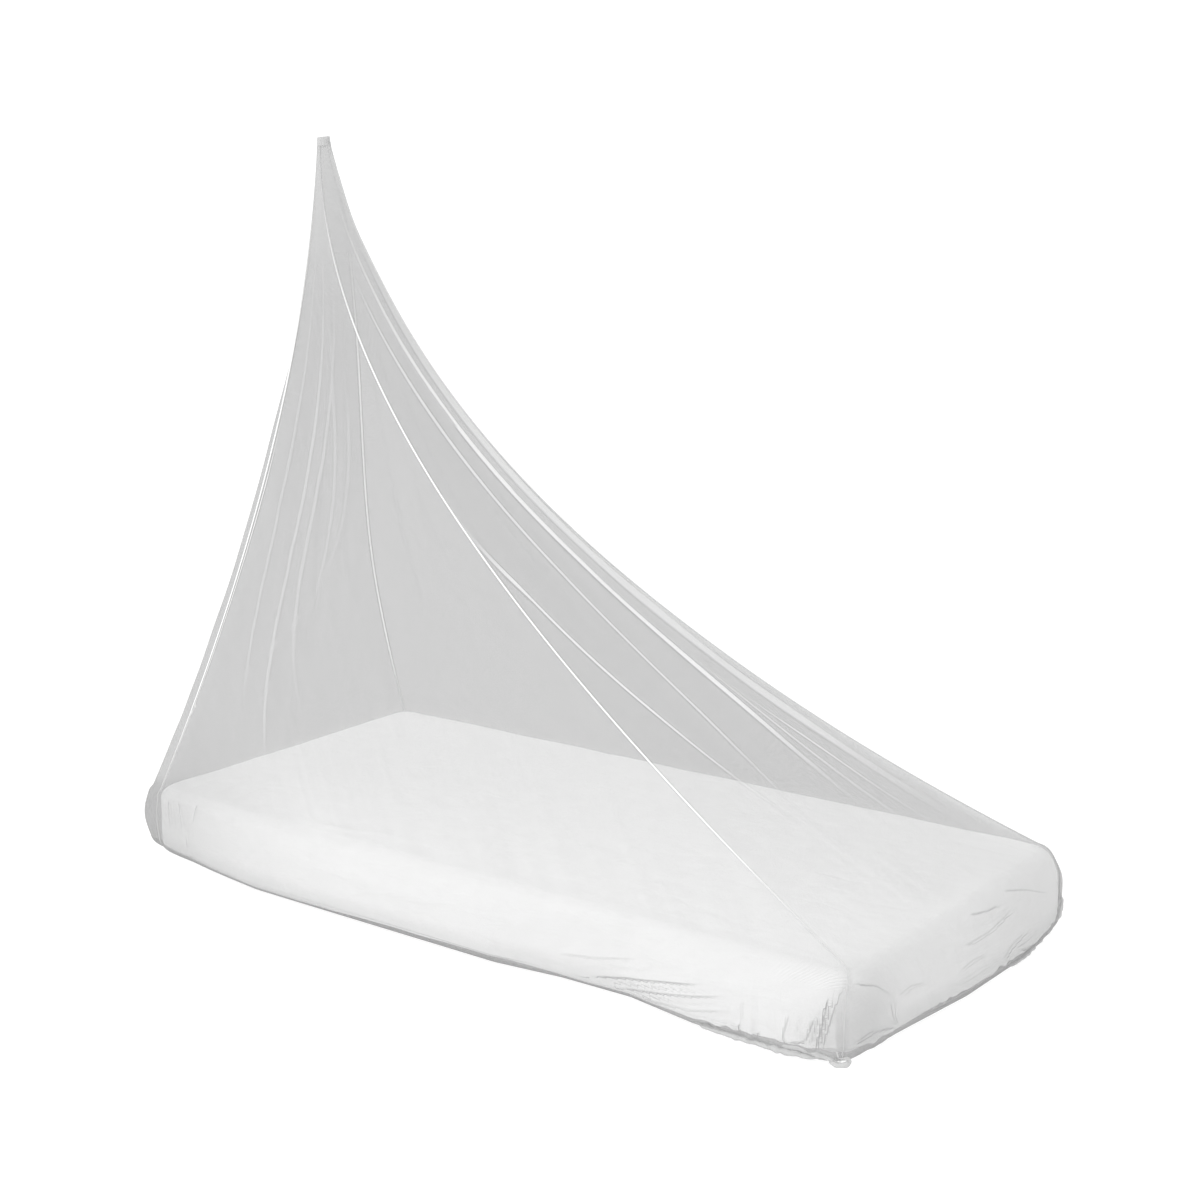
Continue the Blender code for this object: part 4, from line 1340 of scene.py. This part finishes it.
# %% Seam tapes
def make_tape(index):
    """The tape of one corner seam."""
    line, outward = seam_line(index)
    line[0, 2] -= TAPE_SUNK
    line, outward, places = evenly(line, outward, STITCH / 3)
    swelling = 1 + STITCH_SWELLING * np.cos(2 * pi * places / STITCH)
    half_depth = TAPE_DEPTH / 2 * swelling
    widens = np.minimum(1.0, TIP_NARROW[0] + places / TIP_NARROW[1])
    half_width = np.full(len(line), TAPE_WIDTH / 2) * widens
    half_width *= 1 - BED_NARROW * fall(line[:, 2], MATTRESS_TOP + 0.12, 0.12)
    line[:, 2] = np.maximum(line[:, 2], half_depth + TAPE_OFF_FLOOR)
    name = SEAMS[index].name.replace("seam", "tape")
    tape, step, angle = swept_tube(name, line, outward, half_width, half_depth)
    add_uv(tape, np.stack([angle * TAPE_WIDTH / 4, places[step]], axis=1))
    white = TAPE_WHITE[index] * (0.25 + 0.75 * rise(places, 0.20, 0.40)) * rise(places, 0.10, 0.15)
    white *= 1 - (1 - TAPE_ON_BED) * fall(line[:, 2], MATTRESS_TOP + 0.25, 0.25)
    white *= 1 - 0.9 * fall(line[:, 2], MATTRESS_TOP + 0.01, 0.03)
    add_values(tape, whiteness=white[step])
    tape.data.materials.append(tape_cloth)
    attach(tape, "root")
    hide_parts(SEAMS[index].name)
    return tape, places[-1]


for index in range(len(SEAMS)):
    tape, length = make_tape(index)
    print(tape.name, "is", round(float(length), 3), "m long,", len(tape.data.polygons), "faces")

# %% [markdown]
# ## The heading at the tip
# All four panels are gathered and bound at the tip, in a flat oval of folded net that is cut off a little
# slanted. It is an oval cup: a cylinder with its lower end open, pleated by waves round its wall and then
# given its thickness.

# %% Heading
CAP_HEIGHT = cap_high.z - cap_low.z
CAP_POINTS = 132  # round the heading, twelve to each pleat
CAP_TOP_WIDER = (0.0020, 0.0020)  # how much wider than the tip's oval the heading is at its top, by x and y
CAP_FOOT_WIDER = (0.0028, 0.0032)  # and at its foot
CAP_TONE = (0.47, 0.52)
CAP_PLEATS = 11
CAP_PLEAT_DEPTH = 0.0007
CAP_SLANT = 0.0016  # how much lower its top is on the head side
CAP_DOME = 0.0006  # how much higher its top is in the middle
CUT_ENDS = 0.006  # how far the cut ends of the net stand above the solid's top


def heading_material():
    """Gathered net, in which the honeycomb hardly shows."""
    material, tree, shader = new_material("gathered net", 0.8)
    place = add(tree, "TexCoord", (-6, 0)).outputs["Object"]
    upright = add(tree, "Mapping", (-5, 0), {"Vector": place, "Rotation": (pi / 2, 0, 0)}).outputs[0]
    mesh = add(tree, "Group", (-4, 0), {"Place": upright}, node_tree=HONEYCOMB).outputs[0]
    grey = ramp(tree, (-3, 0), mesh, (0.0, 1.0), CAP_TONE)
    bump = add(tree, "Bump", (-2, 2), {"Height": mesh, "Distance": 0.0003, "Strength": 0.6})
    tree.links.new(grey_of(tree, (-2, 0), grey), shader.inputs["Base Color"])
    tree.links.new(bump.outputs[0], shader.inputs["Normal"])
    return material


def make_heading():
    """The bound heading, as wide as its solid."""
    deselect()
    bpy.ops.mesh.primitive_cylinder_add(vertices=CAP_POINTS, radius=1, depth=1)
    cup = just_made("tip_heading")
    pick(cup, "FACE", lambda face: face.normal.z < -0.9)
    bpy.ops.mesh.delete(type="ONLY_FACE")
    bpy.ops.object.mode_set(mode="OBJECT")
    pick(cup, "FACE", lambda face: face.normal.z > 0.9)
    for share in (0.93, 0.8, 0.6, 0.4, 0.2):
        bpy.ops.mesh.inset(thickness=0.0, depth=0.0)
        bpy.ops.transform.resize(value=(share, share, 1))
    bpy.ops.object.mode_set(mode="OBJECT")
    pick(cup, "EDGE", runs_along_z(cup, 0.5))
    bpy.ops.mesh.subdivide_edgering(number_cuts=9, interpolation="LINEAR", smoothness=0)
    bpy.ops.object.mode_set(mode="OBJECT")
    return cup


def shape_heading(cup):
    """Bends the plain cup to the oval of the gathered net, with its pleats, its slant and a slight dome."""
    middle_x = (cap_low.x + cap_high.x) / 2
    top_x, top_y = TIP_RADIUS_X + CAP_TOP_WIDER[0], TIP_RADIUS_Y + CAP_TOP_WIDER[1]
    foot_x, foot_y = TIP_RADIUS_X + CAP_FOOT_WIDER[0], TIP_RADIUS_Y + CAP_FOOT_WIDER[1]
    for vertex in cup.data.vertices:
        x, y, z = vertex.co
        low = 0.5 - z
        turn = np.arctan2(y, x)
        pleat = CAP_PLEAT_DEPTH * (sin(CAP_PLEATS * turn) + 0.5 * sin(17 * turn + 1.0)) * (0.3 + 0.7 * low)
        reach_x = top_x + (foot_x - top_x) * low - CAP_PLEAT_DEPTH * 1.5 + pleat
        reach_y = top_y + (foot_y - top_y) * low - CAP_PLEAT_DEPTH * 1.5 + pleat
        centre_x = TIP_X + (middle_x - TIP_X) * low * 0.5
        slant = CAP_SLANT * (x - 1) * (1 - low) + CUT_ENDS * (1 - low)
        dome = -CAP_DOME * (x * x + y * y) * (low < 0.001)
        vertex.co = (centre_x + x * reach_x, y * reach_y, cap_high.z - CAP_HEIGHT * low + slant + dome)
    cup.data.update()


heading = make_heading()
shape_heading(heading)
wall = heading.modifiers.new("wall", "SOLIDIFY")
wall.thickness = CAP_WALL
wall.offset = -1
bpy.ops.object.modifier_apply(modifier="wall")
heading.data.shade_smooth()
heading.data.materials.append(heading_material())
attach(heading, "root")
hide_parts("tip_cap")
print(heading.name, "has", len(heading.data.polygons), "faces")

# %% [markdown]
# ## The mattress
# The mattress is a foam block with round corners, whose soft bottom corners rise a little off the floor. A
# cube is beveled twice: first its upright corners, then its top and bottom rims. It ends just inside the
# sheet that covers it.

# %% Mattress
SHEET_ROOM = 0.010  # how far the mattress stays inside its own solid, for the sheet on it
CUTS = np.linspace(0.07, 0.41, 11)  # distances in from each side, at which cuts let the corners bend up


def make_mattress():
    """The foam block under the sheet."""
    deselect()
    height = MATTRESS_TOP - MATTRESS_BOTTOM
    bpy.ops.mesh.primitive_cube_add(size=1, location=(0, 0, MATTRESS_BOTTOM + (height - SHEET_ROOM) / 2))
    block = just_made("mattress_block")
    block.scale = (2 * (HALF_LENGTH - SHEET_ROOM), 2 * (HALF_WIDTH - SHEET_ROOM), height - SHEET_ROOM)
    bpy.ops.object.transform_apply(location=True, rotation=True, scale=True)
    pick(block, "EDGE", runs_along_z(block, 0.01))
    bpy.ops.mesh.bevel(offset=MATTRESS_CORNER, segments=14, profile=0.5, affect="EDGES")
    bpy.ops.object.mode_set(mode="OBJECT")
    rims = block.modifiers.new("rims", "BEVEL")
    rims.width = MATTRESS_EDGE
    rims.segments = 6
    rims.angle_limit = radians(50)
    bpy.ops.object.modifier_apply(modifier="rims")
    bpy.ops.object.mode_set(mode="EDIT")
    for inset in CUTS:
        for axis, half in ((0, HALF_LENGTH), (1, HALF_WIDTH)):
            for side in (-1, 1):
                place, normal = [0, 0, 0], [0, 0, 0]
                place[axis], normal[axis] = side * (half - inset), 1
                bpy.ops.mesh.select_all(action="SELECT")
                bpy.ops.mesh.bisect(plane_co=place, plane_no=normal)
    bpy.ops.object.mode_set(mode="OBJECT")
    move_points(block, lift(points_of(block)))
    return block


mattress = make_mattress()
mattress.data.materials.append(ticking)
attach(mattress, "root")
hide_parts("mattress")
print(mattress.name, "has", len(mattress.data.polygons), "faces")

# %% [markdown]
# ## The sheet on the mattress
# A white sheet covers the mattress and hangs down its sides to just above the floor. Its flat grid is laid
# in rings: the outer rings hang, the next ones bend over the edge and the rest lie on top. Then shallow
# creases are pressed in, plainest where the cloth is pulled towards a corner.

# %% Sheet form
SHEET_CELL = 0.0057
SHEET_GAP = 0.0006  # from the sheet to the outside of the mattress's own solid
SHEET_HEM = 0.002  # least height of its lower edge above the mattress's foot
HEM_ALONG_NEAR = (-0.50, -0.20, 0.15, 0.33, 0.50, 0.62, 0.75, 0.90)
HEM_RISE_NEAR = (0.000, 0.012, 0.018, 0.005, 0.010, 0.014, 0.022, 0.030)
HEM_RISE_FOOT = 0.019
HEM_NEAR_FROM = (0.30, 0.14)  # where the near side begins, from the bed's middle line
HEM_FOOT_FROM = (0.85, 0.09)  # and where the foot end does
SHEET_GATHER = 0.9  # how much of the net's bunched folds the sheet beneath follows
HEM_RUFFLE = 0.0045  # small waves of the hem at the foot end
HEM_RUFFLE_FROM = (0.45, 0.3)

edge_arc = MATTRESS_EDGE * pi / 2
side_drop = MATTRESS_TOP - MATTRESS_EDGE - MATTRESS_BOTTOM - SHEET_HEM
hang = side_drop + edge_arc
sheet_flat = (2 * (HALF_WIDTH - MATTRESS_EDGE + hang), 2 * (HALF_LENGTH - MATTRESS_EDGE + hang))
sheet_rows = 2 * round(sheet_flat[0] / SHEET_CELL / 2)
SHEET_CELL = sheet_flat[0] / sheet_rows
sheet_columns = 2 * round(sheet_flat[1] / SHEET_CELL / 2)
print("sheet cut", [round(size, 3) for size in sheet_flat], "as", sheet_rows, "by", sheet_columns, "cells")


def sheet_point(panel, part, inset):
    """A point of the sheet on one side of the bed, at its distance in from the hem."""
    rim = outline(panel, part, 0.0)
    hem_rise = np.interp(rim[..., 0], HEM_ALONG_NEAR, HEM_RISE_NEAR) * rise(-rim[..., 1], *HEM_NEAR_FROM)
    hem_rise = np.maximum(hem_rise, HEM_RISE_FOOT * rise(rim[..., 0], *HEM_FOOT_FROM))
    along = rim.sum(axis=-1)
    ruffle = np.sin(90 * along + 4 * np.sin(23 * along)) * (0.5 + 0.5 * np.sin(31 * along + 1))
    hem_rise = hem_rise + HEM_RUFFLE * rise(rim[..., 0], *HEM_RUFFLE_FROM) * ruffle
    side_share = np.clip(inset / side_drop, 0, 1)
    angle = np.clip((inset - side_drop) / MATTRESS_EDGE, 0, pi / 2)
    top_in = np.maximum(inset - hang, 0)
    bunched = gather_height(panel, part) * SHEET_GATHER
    bunched = bunched * (GATHER_AT_TOP + (1 - GATHER_AT_TOP) * (1 - side_share)) * (angle < 1e-6)
    out = bunched - SHEET_GAP - MATTRESS_EDGE * (1 - np.cos(angle)) - top_in
    foot = MATTRESS_BOTTOM + SHEET_HEM + hem_rise
    brim = MATTRESS_TOP - MATTRESS_EDGE
    height = foot + (brim - foot) * side_share + (MATTRESS_EDGE - SHEET_GAP) * np.sin(angle)
    below = np.clip(MATTRESS_EDGE - height, 0, MATTRESS_EDGE)
    under = MATTRESS_EDGE - np.sqrt(MATTRESS_EDGE**2 - below**2)
    return np.concatenate([outline(panel, part, out - under), height[..., None]], axis=-1)


def sheet_face():
    """The sheet's points, by row across the bed and column along it."""
    row, column = np.mgrid[0 : sheet_rows + 1, 0 : sheet_columns + 1]
    ring = np.minimum(np.minimum(row, sheet_rows - row), np.minimum(column, sheet_columns - column))
    inset = ring * SHEET_CELL
    along = (column - ring) / np.maximum(sheet_columns - 2 * ring, 1)
    across = (row - ring) / np.maximum(sheet_rows - 2 * ring, 1)
    face = np.zeros((*row.shape, 3))
    for panel, here, part in (
        (PANELS[0], row == ring, along),
        (PANELS[2], sheet_rows - row == ring, 1 - along),
        (PANELS[1], sheet_columns - column == ring, across),
        (PANELS[3], column == ring, 1 - across),
    ):
        face[here] = sheet_point(panel, part[here], inset[here])
    return lift(face)


sheet_points = sheet_face()
print("sheet from", sheet_points.min(axis=(0, 1)).round(3), "to", sheet_points.max(axis=(0, 1)).round(3))

# %% [markdown]
# The creases of the table above are raised on the sheet, with a soft crumple between them. The sheet is one
# layer of cloth, so its cells can be fine enough for creases a centimetre wide.

# %% Sheet creases
CRUMPLE = 0.0016
CRUMPLE_RATES = (9.0, 23.0)  # crumples to the metre, the finer ones half as high
SHEET_SINK = 0.0075  # how deep a hollow may go before it meets the mattress


def crumple(points, scale, seed):
    """Soft noise between -1 and 1 at points in space."""
    found = [noise.noise(Vector(point) * scale + Vector((seed, 0, 0))) for point in points.reshape(-1, 3)]
    return np.array(found).reshape(points.shape[:-1])


def press_sheet(points, height):
    """The sheet with its creases and crumple, always within the room under the net."""
    outward = -outward_of(points)
    relief = height + CRUMPLE * crumple(points, CRUMPLE_RATES[0], 3.1)
    relief += 0.5 * CRUMPLE * crumple(points, CRUMPLE_RATES[1], 8.2)
    relief = np.maximum(relief - np.percentile(relief, 99.5), -SHEET_SINK)
    return points + outward * np.minimum(relief, 0)[:, :, None]


press_height, press_distance, press_dark = press_lines(sheet_points)
sheet, row, column = grid_piece("bed_sheet", swell(press_sheet(sheet_points, press_height)))
add_uv(sheet, np.stack([column * SHEET_CELL, row * SHEET_CELL], axis=1))
add_values(sheet, press_distance=press_distance[row, column], press_dark=press_dark[row, column])
sheet.data.materials.append(sheet_cotton)
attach(sheet, "root")
print(sheet.name, "has", len(sheet.data.polygons), "faces")

# %% [markdown]
# ## Bunched hem at the foot corners
# Round the two foot corners more net is tucked under than fits, so its hem comes out again as a small rolled
# ruffle. Each is a tube swept through a few places, whose path and thickness waver as crumpled net does.

# %% Rolled hem
Roll = namedtuple("Roll", "name path thick")
ROLLS = (
    Roll(
        "near_foot_roll",
        ((0.62, -0.436, 0.006), (0.74, -0.444, 0.008), (0.84, -0.447, 0.010), (0.90, -0.447, 0.011)),
        0.0070,
    ),
    Roll(
        "corner_roll",
        ((0.80, -0.447, 0.020), (0.86, -0.452, 0.026), (0.91, -0.450, 0.018), (0.938, -0.444, 0.010)),
        0.0055,
    ),
    Roll(
        "corner_loop",
        (
            (0.905, -0.440, 0.012),
            (0.935, -0.458, 0.010),
            (0.957, -0.452, 0.014),
            (0.950, -0.436, 0.018),
            (0.925, -0.438, 0.016),
        ),
        0.0058,
    ),
    Roll(
        "foot_roll",
        ((0.938, 0.13, 0.007), (0.941, 0.22, 0.009), (0.941, 0.29, 0.010), (0.940, 0.33, 0.009)),
        0.0055,
    ),
    Roll(
        "far_foot_roll",
        ((0.942, 0.372, 0.012), (0.951, 0.402, 0.026), (0.951, 0.424, 0.048), (0.938, 0.440, 0.070)),
        0.0080,
    ),
)
ROLL_STEP = 0.003
ROLL_LAYERS = 2.5
ROLL_TAPER = 0.03  # length over which each end thins out
ROLL_ROUNDS = 6  # rounds of evening that turn its bent path into a curve
ROLL_OFF_FLOOR = 0.0005
WAVER_RATE = 45  # how quickly its path and its thickness waver
WAVER_OUT = 0.007  # how far its path wavers outward
WAVER_UP = 0.004  # and upward
THICKNESS_WAVER = 0.9


def make_roll(roll):
    """One rolled ruffle of net."""
    line = np.array(roll.path, float)
    line, _, walked = evenly(line, line, ROLL_STEP)
    for _ in range(ROLL_ROUNDS):
        line[1:-1] = (line[:-2] + 2 * line[1:-1] + line[2:]) / 4
    outward = unit(line * np.array([0.3, 1.0, 0.0]))
    spots = [[Vector((place * WAVER_RATE, kind * 9.0, 1.0)) for kind in range(4)] for place in walked]
    waver = np.array([[noise.noise(spot) for spot in row] for row in spots])
    taper = 0.15 + 0.85 * rise(walked, 0, ROLL_TAPER) * fall(walked, walked[-1], ROLL_TAPER)
    line += outward * (WAVER_OUT * waver[:, :1])
    line += np.array([0, 0, 1.0]) * (WAVER_UP * np.abs(waver[:, 1:2]))
    wide = roll.thick * (0.75 + THICKNESS_WAVER * np.abs(waver[:, 2])) * taper
    deep = roll.thick * (0.55 + THICKNESS_WAVER * np.abs(waver[:, 3])) * taper
    line[:, 2] = np.maximum(line[:, 2], np.maximum(wide, deep) + ROLL_OFF_FLOOR)
    piece, step, angle = swept_tube(roll.name, swell(line), outward, wide, deep)
    add_uv(piece, np.stack([angle * roll.thick, walked[step]], axis=1))
    whole = np.ones(len(step))
    add_values(piece, layers=ROLL_LAYERS * whole, gathered=whole)
    # a dark line of painted shade along each roll
    add_values(piece, press_distance=(np.sin(angle) - 0.5 * waver[step, 0]) * roll.thick, press_dark=whole)
    piece.data.materials.append(net)
    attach(piece, "root")
    return piece


rolls = [make_roll(roll) for roll in ROLLS]
print([piece.name for piece in rolls])

# %% [markdown]

# %% [markdown]
# ## Floor and light
# The photograph is a cut-out on white, so the floor is pale and wide and the sky is an even white. A broad
# soft light from the front and the head end makes the near side the palest and leaves the foot end greyer.

# %% Floor
WHITE = (1, 1, 1, 1)
FLOOR_GREY = (0.30, 0.30, 0.30, 1)
FLOOR_GAP = 0.0005  # from the floor up to the net that lies on it
FLOOR_RADIUS = 40.0
FLOOR_GLOW = 0.80  # the floor is lit from below, as a light table is, so it keeps hardly any shadow


def floor_material():
    """A dull pale floor that glows evenly."""
    material, _, shader = new_material("studio floor", 1.0)
    shader.inputs["Base Color"].default_value = FLOOR_GREY
    shader.inputs["Emission Color"].default_value = WHITE
    shader.inputs["Emission Strength"].default_value = FLOOR_GLOW
    shader.inputs["Specular IOR Level"].default_value = 0.0
    return material


deselect()
bpy.ops.mesh.primitive_circle_add(
    vertices=96, radius=FLOOR_RADIUS, fill_type="NGON", location=(0, 0, -FLOOR_GAP)
)
floor = just_made("studio_floor")
floor.data.materials.append(floor_material())
print("floor", 2 * FLOOR_RADIUS, "m across")

# %% Light
SKY = 1.20
SUN = 1.0
SUN_FROM = Vector((-0.35, -0.85, 0.45))
SUN_BREADTH = 50  # degrees, which makes its shadows soft

world = bpy.data.worlds.new("white sky")
bpy.context.scene.world = world
world.use_nodes = True
background = world.node_tree.nodes["Background"]
background.inputs["Color"].default_value = WHITE
background.inputs["Strength"].default_value = SKY
deselect()
bpy.ops.object.light_add(type="SUN", rotation=SUN_FROM.to_track_quat("Z", "Y").to_euler())
key = bpy.context.object
key.data.energy = SUN
key.data.angle = radians(SUN_BREADTH)
bpy.context.scene.view_settings.view_transform = "Standard"
print("sky", SKY, "key light", SUN)
